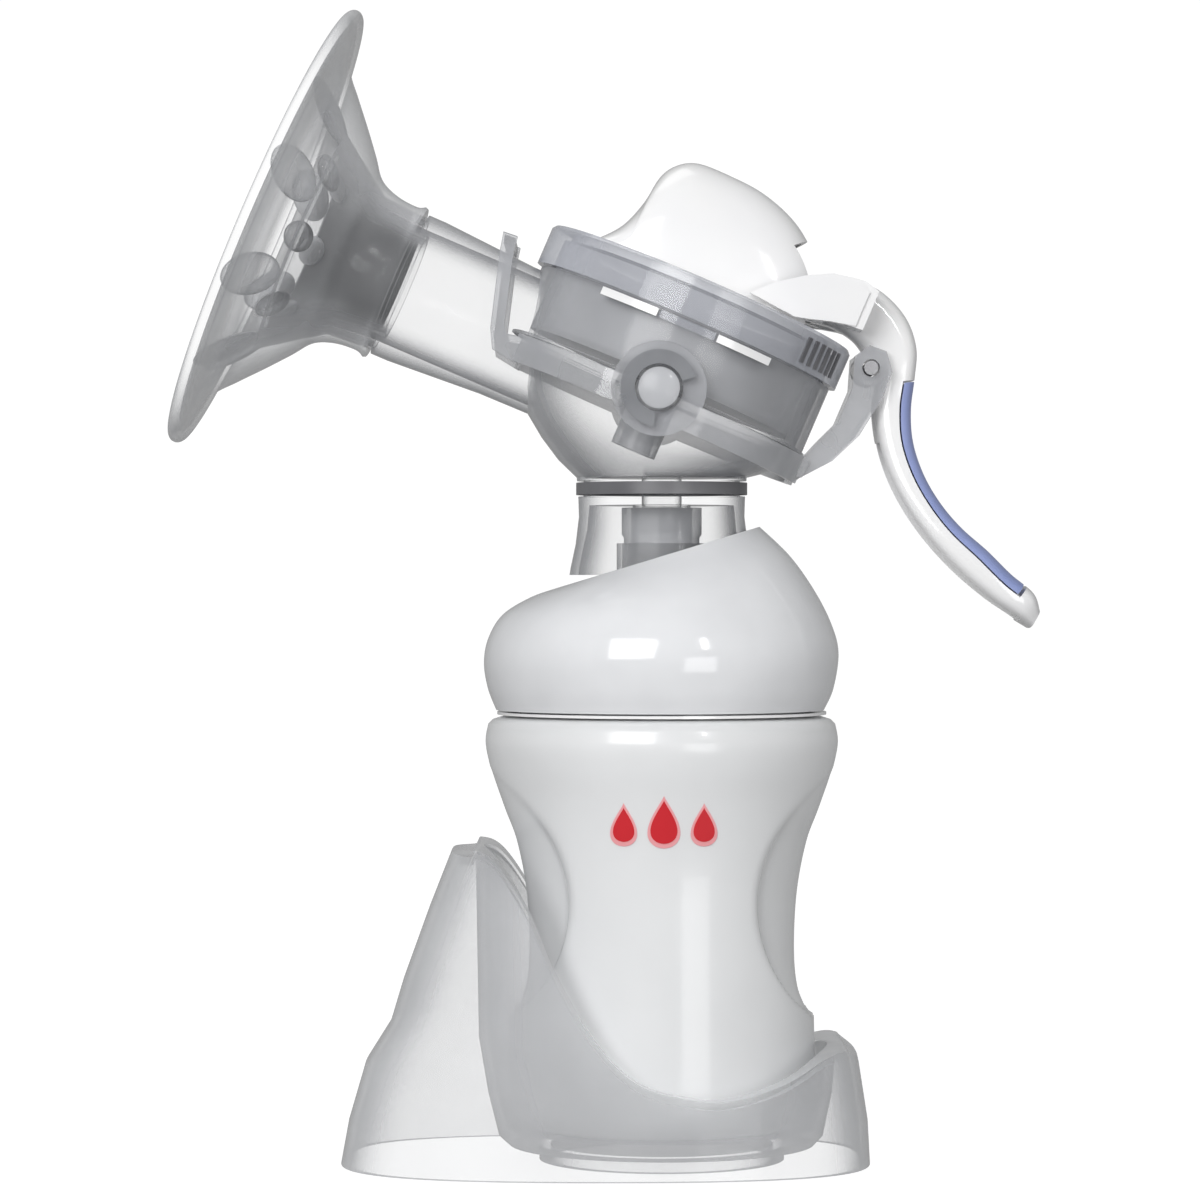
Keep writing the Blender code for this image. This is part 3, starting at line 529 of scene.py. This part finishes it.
def build_yoke(mats, parent):
    """Clear bracket: eyes on the side bosses, a front arch over the tube, ears for the axle."""
    reach = DRUM_R + 0.4
    inner = reach + 0.45
    depth = -2.6
    ear_y, ear_t = 6.6, 2.0
    yoke = None
    for side in (-1, 1):
        path = []
        for step in range(49):
            angle = math.radians(152 - 136 * step / 48)
            out = (math.cos(angle), side * math.sin(angle), 0)
            path.append(((out[0] * reach, out[1] * reach, depth), out, (0, 0, 1)))
        arm = mesh_object("arm", strap_rings(path, 2.5, 1.6), None, parent)
        eye = lathe("eye", [(0, side * (reach - 0.2)), (8.3, side * (reach - 0.2)),
                            (8.3, side * (reach + 1.6)), (0, side * (reach + 1.6))],
                    axis="Y", segments=96, parent=parent)
        boolean(arm, eye, "UNION")
        hole_r = BOSS_R + CLEAR
        hole = lathe("hole", [(0, side * 20), (hole_r, side * 20), (hole_r, side * 40), (0, side * 40)],
                     axis="Y", segments=96, parent=parent)
        boolean(arm, hole, "DIFFERENCE")
        ear = [(25.4, -4.6), (28.9, -4.3), (33.4, 1.2), (36.0, 7.2), (37.2, 15.0), (37.0, 20.0),
               (34.6, 23.0), (31.4, 22.8), (29.7, 20.0), (31.6, 14.6), (31.6, 8.0), (29.9, 3.8),
               (28.7, 0.4), (26.6, -0.2)]
        low, high = sorted((side * ear_y, side * (ear_y + ear_t)))
        ear = plate("ear", ear, low, high, None, parent)
        link = plate("link", [(27.0, -4.4), (29.6, -3.6), (29.6, -0.2), (27.6, -0.2)],
                     *sorted((side * 7.1, side * 9.9)), None, parent)
        drum = lathe("drum", [(0, -8), (inner, -8), (inner, 6), (0, 6)], parent=parent)
        boolean(ear, link, "UNION")
        boolean(ear, drum, "DIFFERENCE")
        boolean(arm, tidy(ear), "UNION")
        tidy(arm)
        post = plate("post", [(-25.0, -5.3), (-29.9, -4.6), (-31.6, -1.4), (-35.4, 11.6), (-36.2, 15.2),
                              (-33.6, 15.4), (-32.9, 11.6), (-29.6, 0.2), (-28.6, -1.2), (-24.8, -0.4)],
                     *sorted((side * 12.9, side * 15.7)), None, parent)
        drum = lathe("drum", [(0, -8), (inner, -8), (inner, 6), (0, 6)], parent=parent)
        boolean(post, drum, "DIFFERENCE")
        boolean(arm, tidy(post), "UNION")
        tidy(arm)
        if yoke:
            tidy(boolean(yoke, arm, "UNION"))
        else:
            yoke = arm
            yoke.name = "yoke"
    bridge = plate("bridge", [(-35.5, 13.5), (-35.9, 15.0), (-33.9, 15.1), (-33.5, 13.5)], -14.4, 14.4,
                   None, parent)
    boolean(yoke, bridge, "UNION")
    pivot_hole = lathe("pivot_hole", [(0, -12), (1.55, -12), (1.55, 12), (0, 12)], axis="Y", segments=48,
                       centre=PIVOT, parent=parent)
    boolean(yoke, pivot_hole, "DIFFERENCE")
    yoke.data.materials.append(mats["clear"])
    lathe("pivot_pin", [(0, -9.2), (1.25, -9.2), (1.25, 9.2), (0, 9.2)], mats["steel"], parent, axis="Y",
          segments=48, centre=PIVOT)
    return tidy(yoke)


def build_boss_trim(mats, parent):
    """On each side a C-shaped clip on the boss and a small cap on its end."""
    for label, side in (("near", -1), ("far", 1)):
        low, high = 30.4, 32.2
        rings = []
        for step in range(65):
            angle = math.radians(40 + 245 * step / 64)
            c, s = math.cos(angle), math.sin(angle)
            rings.append([(r * c, side * y, r * s)
                          for r, y in ((4.2, low), (6.7, low), (6.7, high), (4.2, high))])
        mesh_object("clip_ring_" + label, rings, mats["clear"], parent)
        cap = [(0, side * 32.3), (3.6, side * 32.3), (3.6, side * 32.8), (3.0, side * 33.2),
               (0, side * 33.4)]
        lathe("boss_cap_" + label, cap, mats["frosted"], parent, axis="Y", segments=64)


# ---------------------------------------------------------------- handle

HANDLE_TOP = [(20.5, 32.0), (26.0, 33.2), (31.0, 32.6), (36.0, 30.1), (39.6, 26.0), (41.4, 21.0),
              (43.0, 15.6), (45.6, 10.4), (49.6, 5.8), (54.4, 2.2), (59.6, -0.4), (65.4, -2.3),
              (71.0, -4.5), (76.0, -6.0), (78.3, -8.4)]
HANDLE_BELOW = [(20.3, 22.8), (24.0, 23.5), (28.3, 22.9), (31.2, 21.4), (34.0, 19.8), (35.4, 17.2),
                (36.6, 12.8), (39.6, 7.6), (43.4, 3.0), (48.4, -1.3), (54.6, -5.2), (61.6, -8.4),
                (69.0, -10.6), (74.6, -11.6), (77.9, -12.1)]
HANDLE_WIDTH = [HANDLE_HALF] * 6 + [6.1, 6.8, 7.8, 8.8, 9.6, 10.0, 9.9, 9.2, 7.0]
def handle_rings(count, start, end, outer_in, inner_in, side_in):
    """Rounded sections of the handle; the three insets pull its faces in."""
    samples = 225
    top, below = curve(HANDLE_TOP, samples), curve(HANDLE_BELOW, samples)
    width = [p.x for p in curve([(w, 0) for w in HANDLE_WIDTH], samples)]
    rings = []
    for i in range(count):
        k = round((start + (end - start) * i / (count - 1)) * (samples - 1))
        across = (top[k] - below[k]).normalized()
        high = top[k] - across * outer_in
        low = below[k] + across * inner_in
        half = width[k] - side_in
        middle, reach = (high + low) / 2, (high - low) / 2
        ring = []
        for j in range(48):
            angle = 2 * math.pi * j / 48
            c, s = math.cos(angle), math.sin(angle)
            a = math.copysign(abs(c) ** 0.6, c)
            b = math.copysign(abs(s) ** 0.6, s)
            ring.append((middle.x + reach.x * a, half * b, middle.y + reach.y * a))
        rings.append(ring)
    return rings


def from_pivot(rings):
    return [[(x - PIVOT[0], y, z - PIVOT[1]) for x, y, z in ring] for ring in rings]


def pivot_plate(name, outline, low, high, parent):
    return plate(name, [(x - PIVOT[0], z - PIVOT[1]) for x, z in outline], low, high, None, parent)


def build_handle(mats, parent):
    handle = mesh_object("handle", from_pivot(handle_rings(113, 0, 1, 0, 0, 0)), None, parent)
    # shoulders on both sides of the dome and the tongue that lifts the stem
    wing = [(8.0, 22.6), (11.4, 26.0), (15.8, 29.2), (20.4, 31.6), (25.0, 32.4), (27.5, 31.0),
            (27.5, 24.5), (23.0, 23.5), (19.4, 22.4), (17.0, 21.8)]
    for side in (-1, 1):
        low, high = sorted((side * 12.2, side * 14.6))
        boolean(handle, pivot_plate("wing", wing, low, high, parent), "UNION")
    web = [(22.4, 31.8), (26.0, 32.6), (29.0, 31.8), (29.0, 24.4), (25.0, 24.0), (22.4, 23.8)]
    boolean(handle, pivot_plate("web", web, -14.0, 14.0, parent), "UNION")
    for side in (-1, 1):
        low, high = sorted((side * 2.9, side * 5.2))
        fork = [(-3.4, 21.2), (22.0, 22.9), (24.0, 31.0), (19.0, 31.0), (9.0, 27.6), (-3.4, 27.8)]
        boolean(handle, pivot_plate("fork", fork, low, high, parent), "UNION")
    boolean(handle, pivot_plate("hub", [(PIVOT[0] + 3 * math.cos(a * math.pi / 8),
                                         PIVOT[1] + 3 * math.sin(a * math.pi / 8)) for a in range(16)],
                                -HANDLE_HALF, HANDLE_HALF, parent), "UNION")
    slot = [(-6.0, STEM_PIN_Z - 1.4), (2.2, STEM_PIN_Z - 1.4), (2.2, STEM_PIN_Z + 1.6),
            (-6.0, STEM_PIN_Z + 1.6)]
    boolean(handle, pivot_plate("slot", slot, -8.0, 8.0, parent), "DIFFERENCE")
    channel = mesh_object("channel", from_pivot(handle_rings(57, 0.50, 0.94, 4.0, -3.0, 1.8)), None, parent)
    boolean(handle, channel, "DIFFERENCE")
    recess = mesh_object("recess", from_pivot(handle_rings(65, GRIP_FROM, GRIP_TO, -2.0, 0, -1.0)), None,
                         parent)
    keep = mesh_object("keep", from_pivot(handle_rings(113, 0, 1, GRIP_T + CLEAR, -4, -3.0)), None, parent)
    boolean(recess, keep, "DIFFERENCE")
    boolean(handle, recess, "DIFFERENCE")
    bore = lathe("bore", [(0, -12), (1.55, -12), (1.55, 12), (0, 12)], axis="Y", segments=48, parent=parent)
    boolean(handle, bore, "DIFFERENCE")
    handle.data.materials.append(mats["white"])
    tidy(handle)
    # soft grip let into the handle's back
    inset = 0.006
    grip = mesh_object("handle_grip", from_pivot(handle_rings(65, GRIP_FROM + inset, GRIP_TO - inset,
                                                              0, 0, 0)), None, parent)
    keep = mesh_object("keep", from_pivot(handle_rings(113, 0, 1, GRIP_T, -4, -3.0)), None, parent)
    boolean(grip, keep, "DIFFERENCE")
    grip.data.materials.append(mats["grip"])
    tidy(grip)


# ---------------------------------------------------------------- materials

def new_material(name):
    mat = bpy.data.materials.new(name)
    mat.use_nodes = True
    nodes, links = mat.node_tree.nodes, mat.node_tree.links
    return mat, nodes, links, nodes["Principled BSDF"]


def mottled(nodes, links, socket, low, high, scale, detail=3.0):
    """Drive a colour socket by soft noise between two colours."""
    coords = nodes.new("ShaderNodeTexCoord")
    noise = nodes.new("ShaderNodeTexNoise")
    noise.inputs["Scale"].default_value = scale
    noise.inputs["Detail"].default_value = detail
    ramp = nodes.new("ShaderNodeValToRGB")
    ramp.color_ramp.elements[0].position = 0.35
    ramp.color_ramp.elements[0].color = (*low, 1)
    ramp.color_ramp.elements[1].position = 0.65
    ramp.color_ramp.elements[1].color = (*high, 1)
    links.new(coords.outputs["Object"], noise.inputs["Vector"])
    links.new(noise.outputs["Fac"], ramp.inputs["Fac"])
    links.new(ramp.outputs["Color"], socket)
    return noise


def bump(nodes, links, shader, scale, strength, distance=0.0001):
    coords = nodes.new("ShaderNodeTexCoord")
    noise = nodes.new("ShaderNodeTexNoise")
    noise.inputs["Scale"].default_value = scale
    node = nodes.new("ShaderNodeBump")
    node.inputs["Strength"].default_value = strength
    node.inputs["Distance"].default_value = distance
    links.new(coords.outputs["Object"], noise.inputs["Vector"])
    links.new(noise.outputs["Fac"], node.inputs["Height"])
    links.new(node.outputs["Normal"], shader.inputs["Normal"])


def see_through(name, low, high, face, edge, blend=0.45, roughness=0.08, tint=(1, 1, 1), grain=900):
    """Clear moulded plastic: thin where it faces the eye, denser towards its edges."""
    mat, nodes, links, shader = new_material(name)
    mottled(nodes, links, shader.inputs["Base Color"], low, high, 60)
    shader.inputs["Roughness"].default_value = roughness
    shader.inputs["Coat Weight"].default_value = 0.3
    bump(nodes, links, shader, grain, 0.06)
    clear = nodes.new("ShaderNodeBsdfTransparent")
    clear.inputs["Color"].default_value = (*tint, 1)
    weight = nodes.new("ShaderNodeLayerWeight")
    weight.inputs["Blend"].default_value = blend
    spread = nodes.new("ShaderNodeMapRange")
    spread.interpolation_type = "SMOOTHSTEP"
    spread.inputs["From Min"].default_value = 0.15
    spread.inputs["From Max"].default_value = 0.95
    spread.inputs["To Min"].default_value = face
    spread.inputs["To Max"].default_value = edge
    mix = nodes.new("ShaderNodeMixShader")
    links.new(weight.outputs["Facing"], spread.inputs["Value"])
    links.new(spread.outputs["Result"], mix.inputs["Fac"])
    links.new(clear.outputs["BSDF"], mix.inputs[1])
    links.new(shader.outputs["BSDF"], mix.inputs[2])
    links.new(mix.outputs["Shader"], nodes["Material Output"].inputs["Surface"])
    return mat


def solid(name, low, high, roughness, grain=700, strength=0.05, coat=0.0, metallic=0.0, scale=50):
    mat, nodes, links, shader = new_material(name)
    mottled(nodes, links, shader.inputs["Base Color"], low, high, scale)
    shader.inputs["Roughness"].default_value = roughness
    shader.inputs["Metallic"].default_value = metallic
    shader.inputs["Coat Weight"].default_value = coat
    bump(nodes, links, shader, grain, strength)
    return mat


MATS = {
    "clear": see_through("clear_plastic", (0.40, 0.41, 0.43), (0.50, 0.51, 0.53), 0.07, 0.98),
    "yoke": see_through("yoke_plastic", (0.46, 0.47, 0.49), (0.56, 0.57, 0.60), 0.42, 0.97),
    "frosted": see_through("frosted_plastic", (0.66, 0.67, 0.70), (0.74, 0.75, 0.78), 0.50, 0.95,
                           roughness=0.35),
    "ring": see_through("ring_plastic", (0.56, 0.58, 0.64), (0.68, 0.70, 0.76), 0.25, 0.95),
    "silicone": see_through("silicone", (0.60, 0.61, 0.63), (0.72, 0.73, 0.75), 0.07, 0.90,
                            roughness=0.12),
    "bottle": see_through("bottle_plastic", (0.92, 0.93, 0.94), (0.95, 0.96, 0.97), 0.80, 0.97,
                          roughness=0.22),
    "stand": see_through("stand_plastic", (0.74, 0.75, 0.77), (0.82, 0.83, 0.85), 0.18, 0.92,
                         roughness=0.15),
    "collar": see_through("collar_plastic", (0.84, 0.85, 0.87), (0.90, 0.91, 0.93), 0.88, 0.98,
                          roughness=0.12),
    "white": solid("white_plastic", (0.87, 0.87, 0.88), (0.90, 0.90, 0.90), 0.14, coat=0.5),
    "grip": solid("grip_rubber", (0.25, 0.31, 0.58), (0.31, 0.37, 0.66), 0.42, grain=1600, strength=0.2),
    "dark": solid("seal_rubber", (0.10, 0.10, 0.11), (0.18, 0.18, 0.19), 0.35),
    "steel": solid("steel", (0.45, 0.45, 0.47), (0.62, 0.62, 0.64), 0.25, metallic=1.0),
    # petal pads: a darker, denser copy of the silicone; their dark edges are painted shade that outlines
    # the pads
    "petal": see_through("petal_silicone", (0.48, 0.49, 0.51), (0.60, 0.61, 0.63), 0.22, 1.0, blend=0.62,
                         roughness=0.06),
    "dark_clip": see_through("clip_plastic", (0.26, 0.27, 0.29), (0.38, 0.39, 0.41), 0.55, 0.98),
    "print": solid("red_print", (0.55, 0.01, 0.02), (0.65, 0.02, 0.03), 0.30),
    "outline": solid("pink_print", (0.80, 0.30, 0.32), (0.88, 0.40, 0.42), 0.35),
}


# ---------------------------------------------------------------- assembly

def settle(obj, body, slot, *nodes):
    """Put a finished piece in the row frame, let it ride and hide the frame parts it replaces; its slot is
    not used.
    """
    to_row_frame(obj)
    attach(obj, body)
    if nodes:
        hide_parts(*nodes)


def to_row_frame(obj):
    bpy.context.view_layer.update()
    obj.data = obj.data.copy()
    obj.data.transform(obj.matrix_world)
    obj.parent = None
    obj.matrix_world = Matrix.Identity(4)


def settle_diaphragm(obj):
    """The rubber wall between its fixed rim and the plate on the stem: put in the row frame with its
    transform baked in, in place of the frame's diaphragm.
    """
    to_row_frame(obj)
    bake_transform(obj)
    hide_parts("diaphragm")


def set_material(obj, mat):
    """Give the whole piece one material in place of what it was built with."""
    obj.data.materials.clear()
    obj.data.materials.append(mat)


BODY_OF = {node: body for body, nodes in frame["record"]["behaviour"]["bodies"].items() for node in nodes}
SLOT_OF = {part["node"]: part["material_slot"] for part in frame["record"]["subparts"]}
LOOK_OF = {"clear_plastic": "clear", "frosted_plastic": "frosted", "ring_plastic": "ring",
           "silicone": "silicone", "white_plastic": "white", "collar_plastic": "collar",
           "bottle_plastic": "bottle", "stand_plastic": "stand", "grip_rubber": "grip",
           "seal_rubber": "dark", "steel": "steel"}
NODE_LOOK = {"yoke": "yoke", "clip_ring_near": "dark_clip", "clip_ring_far": "dark_clip",
             "bottle_seal": "white"}


def build_all():
    """Fine versions of every sub-part, named after the node with a suffix."""
    base = empty("base_frame", (AXIS_X, 0, 0))
    head = empty("head_frame", HUB, TILT_DEG)
    lever = empty("handle_frame", (PIVOT[0], 0, PIVOT[1]), parent=head)
    build_stand(MATS["stand"], base)
    build_bottle(MATS["bottle"], base)
    build_collar(MATS["collar"], MATS["white"], base)
    build_neck(MATS, base)
    build_body(MATS["clear"], head)
    build_cushion(MATS["silicone"], head)
    build_drum_parts(MATS, head)
    build_diaphragm(MATS, head)
    build_stem(MATS, head)
    build_dome(MATS["white"], head)
    build_yoke(MATS, head)
    build_boss_trim(MATS, head)
    build_handle(MATS, lever)
    return base, head, lever


def main():
    before = set(bpy.data.objects)
    base, head, lever = build_all()
    made = [o for o in bpy.data.objects if o not in before and o.type == "MESH"]
    extras = [(pad, "head", "silicone") for pad in build_petals(head)]
    extras += [(mark, "bottle", "bottle_plastic") for mark in build_print(base)]
    extras += [(strip, "head", "ring_plastic") for strip in build_ring_trim(head)]
    extras.append((build_seam(head), "head", "clear_plastic"))
    for obj, body, slot in extras:
        settle(obj, body, slot)
    for obj in made:
        node = obj.name.split(".")[0]
        obj.name = "fine_" + node
        look = NODE_LOOK.get(node, LOOK_OF[SLOT_OF[node]])
        set_material(obj, MATS[look])
        if node == "diaphragm":
            settle_diaphragm(obj)
        else:
            settle(obj, BODY_OF[node], SLOT_OF[node], node)
    for obj in (lever, head, base):
        bpy.data.objects.remove(obj)


# ---------------------------------------------------------------- details

def ellipsoid(name, centre, axes, radii, mat, parent):
    """A smooth pad; axes are three directions and radii its half sizes along them, mm."""
    bm = bmesh.new()
    bmesh.ops.create_icosphere(bm, subdivisions=4, radius=1.0)
    for vert in bm.verts:
        point = Vector(centre)
        for axis, radius, share in zip(axes, radii, vert.co):
            point += Vector(axis).normalized() * radius * share
        vert.co = point * MM
    bmesh.ops.recalc_face_normals(bm, faces=bm.faces)
    mesh = bpy.data.meshes.new(name)
    bm.to_mesh(mesh)
    bm.free()
    mesh.shade_smooth()
    mesh.materials.append(mat)
    obj = bpy.data.objects.new(name, mesh)
    bpy.context.collection.objects.link(obj)
    obj.parent = parent
    return obj


def build_petals(parent):
    """Massage pads on the inner cone of the cushion: a large and a small row."""
    rows = (("large", -73.6, 25.0, 22.5, (4.3, 6.4), -42), ("small", -68.9, 17.8, 0.0, (2.8, 3.6), -38))
    pads = []
    for label, u, radius, start, (across, along), lean in rows:
        for i in range(8):
            angle = math.radians(start + 45 * i)
            out = Vector((0, math.cos(angle), math.sin(angle)))
            round_the_cone = Vector((0, -math.sin(angle), math.cos(angle)))
            slope = math.radians(lean)
            along_cone = Vector((math.sin(slope), 0, 0)) + out * math.cos(slope)
            normal = along_cone.cross(round_the_cone)
            centre = Vector((u, 0, 0)) + out * radius
            pads.append(ellipsoid("petal_%s_%d" % (label, i + 1), centre,
                                  (round_the_cone, along_cone, normal), (across, along, 1.3),
                                  MATS["petal"], parent))
    return pads


def build_print(parent):
    """Plain mark of three drops on the bottle's front."""
    front = -math.pi / 2
    pieces = []
    for i, (x, z, size) in enumerate(((-7.0, 61.5, 2.6), (0.0, 62.0, 3.3), (7.0, 61.5, 2.6))):
        for label, grow, lift, mat in (("outline", 0.7, 0.0, "outline"), ("drop", 0.0, 0.08, "print")):
            reach = size + grow
            outline = []
            for step in range(48):
                t = 2 * math.pi * step / 48
                wide = reach * math.sin(t) * math.sin(t / 2) ** 1.4
                outline.append((x + wide, z + reach * 1.15 * math.cos(t)))
            rings = []
            for depth in (0.0, 0.12):
                ring = []
                for px, pz in outline:
                    radius = bottle_radius(front, pz) + 0.02 + lift + depth
                    ring.append((px, -math.sqrt(max(radius ** 2 - px ** 2, 0)), pz))
                rings.append(ring)
            pieces.append(mesh_object("%s_%d" % (label, i + 1), rings, MATS[mat], parent))
    return pieces


def arc_plate(name, radius, thickness, low, high, start_deg, end_deg, mat, parent):
    """A strip on the drum's side, between two heights and two angles."""
    rings = []
    for step in range(17):
        angle = math.radians(start_deg + (end_deg - start_deg) * step / 16)
        c, s = math.cos(angle), math.sin(angle)
        rings.append([(r * c, r * s, z) for r, z in ((radius, low), (radius + thickness, low),
                                                     (radius + thickness, high), (radius, high))])
    return mesh_object(name, rings, mat, parent)


def build_ring_trim(parent):
    """Bayonet slots below the cover ring and the ribbed grip at its back."""
    strips = []
    for label, turn in (("near", -1), ("far", 1)):
        for i, (start, end, look) in enumerate(((-34, -11, "white"), (-10, 11, "ring"), (12, 34, "white"))):
            strips.append(arc_plate("slot_%s_%d" % (label, i + 1), DRUM_R + 0.05, 0.45, 11.4, 12.8,
                                    turn * 90 + start, turn * 90 + end, MATS[look], parent))
        for i in range(6):
            start = turn * (24 + 4.2 * i)
            strips.append(arc_plate("rib_%s_%d" % (label, i + 1), RING_R + 0.02, 0.35, 14.4, RING_TOP - 1.6,
                                    start, start + 1.8, MATS["dark"], parent))
    return strips


def build_seam(parent):
    """Raised moulding line round the drum at its seam."""
    profile = [(DRUM_R - 0.05, 0.05), (DRUM_R + 0.35, 0.2), (DRUM_R + 0.35, 0.6), (DRUM_R - 0.05, 0.75)]
    return lathe("drum_seam", profile, MATS["clear"], parent)


# ---------------------------------------------------------------- stage

def area_light(name, location, target, size, power):
    """A rectangular light aimed at a point; metres and watts."""
    data = bpy.data.lights.new(name, "AREA")
    data.shape = "RECTANGLE"
    data.size, data.size_y = size
    data.energy = power
    light = bpy.data.objects.new(name, data)
    bpy.context.collection.objects.link(light)
    light.location = location
    direction = Vector(target) - Vector(location)
    light.rotation_euler = direction.to_track_quat("-Z", "Y").to_euler()


def glow(name, strength, diffuse):
    """A white surface that lights itself."""
    mat, _nodes, _links, shader = new_material(name)
    shader.inputs["Base Color"].default_value = (diffuse, diffuse, diffuse, 1)
    shader.inputs["Roughness"].default_value = 0.35
    shader.inputs["Emission Color"].default_value = (1, 1, 1, 1)
    shader.inputs["Emission Strength"].default_value = strength
    return mat


def sheet_object(name, corners, mat):
    mesh = bpy.data.meshes.new(name)
    mesh.from_pydata(corners, [], [(0, 1, 2, 3)])
    obj = bpy.data.objects.new(name, mesh)
    bpy.context.collection.objects.link(obj)
    mesh.materials.append(mat)


def build_stage():
    far, back, floor = 3.0, 2.2, -0.0002    # metres
    floor_mat = glow("floor_white", 0.93, 0.10)
    wall_mat = glow("backdrop_white", 1.0, 0.0)
    sheet_object("floor", [(-far, -far, floor), (far, -far, floor), (far, far, floor), (-far, far, floor)],
                 floor_mat)
    sheet_object("backdrop", [(-far, back, -0.2), (far, back, -0.2), (far, back, far), (-far, back, far)],
                 wall_mat)
    for name in ("floor", "backdrop"):
        bpy.data.objects[name].visible_diffuse = False
        bpy.data.objects[name].visible_glossy = False
    world = bpy.data.worlds.new("studio")
    world.use_nodes = True
    world.node_tree.nodes["Background"].inputs["Color"].default_value = (1, 1, 1, 1)
    world.node_tree.nodes["Background"].inputs["Strength"].default_value = 0.33
    bpy.context.scene.world = world
    middle = (0, 0, 0.11)
    area_light("key", (-0.30, -0.85, 0.42), middle, (0.50, 0.50), 5.6)
    area_light("fill", (0.35, -0.75, 0.02), middle, (0.30, 0.30), 1.0)
    area_light("top", (-0.1, 0.15, 0.75), middle, (0.4, 0.4), 0.6)
    area_light("window", (0.30, -0.55, 0.38), middle, (0.04, 0.16), 0.5)
    bpy.context.scene.view_settings.view_transform = "Standard"


def build_camera():
    data = bpy.data.cameras.new("camera")
    data.lens = 135
    data.sensor_width = 36
    data.shift_y = -0.0208
    camera = bpy.data.objects.new("camera", data)
    bpy.context.collection.objects.link(camera)
    camera.location = (-0.0005, -0.81, 0.1049)
    camera.rotation_euler = (math.pi / 2, 0, 0)
    bpy.context.scene.camera = camera


build_camera()
build_stage()
main()
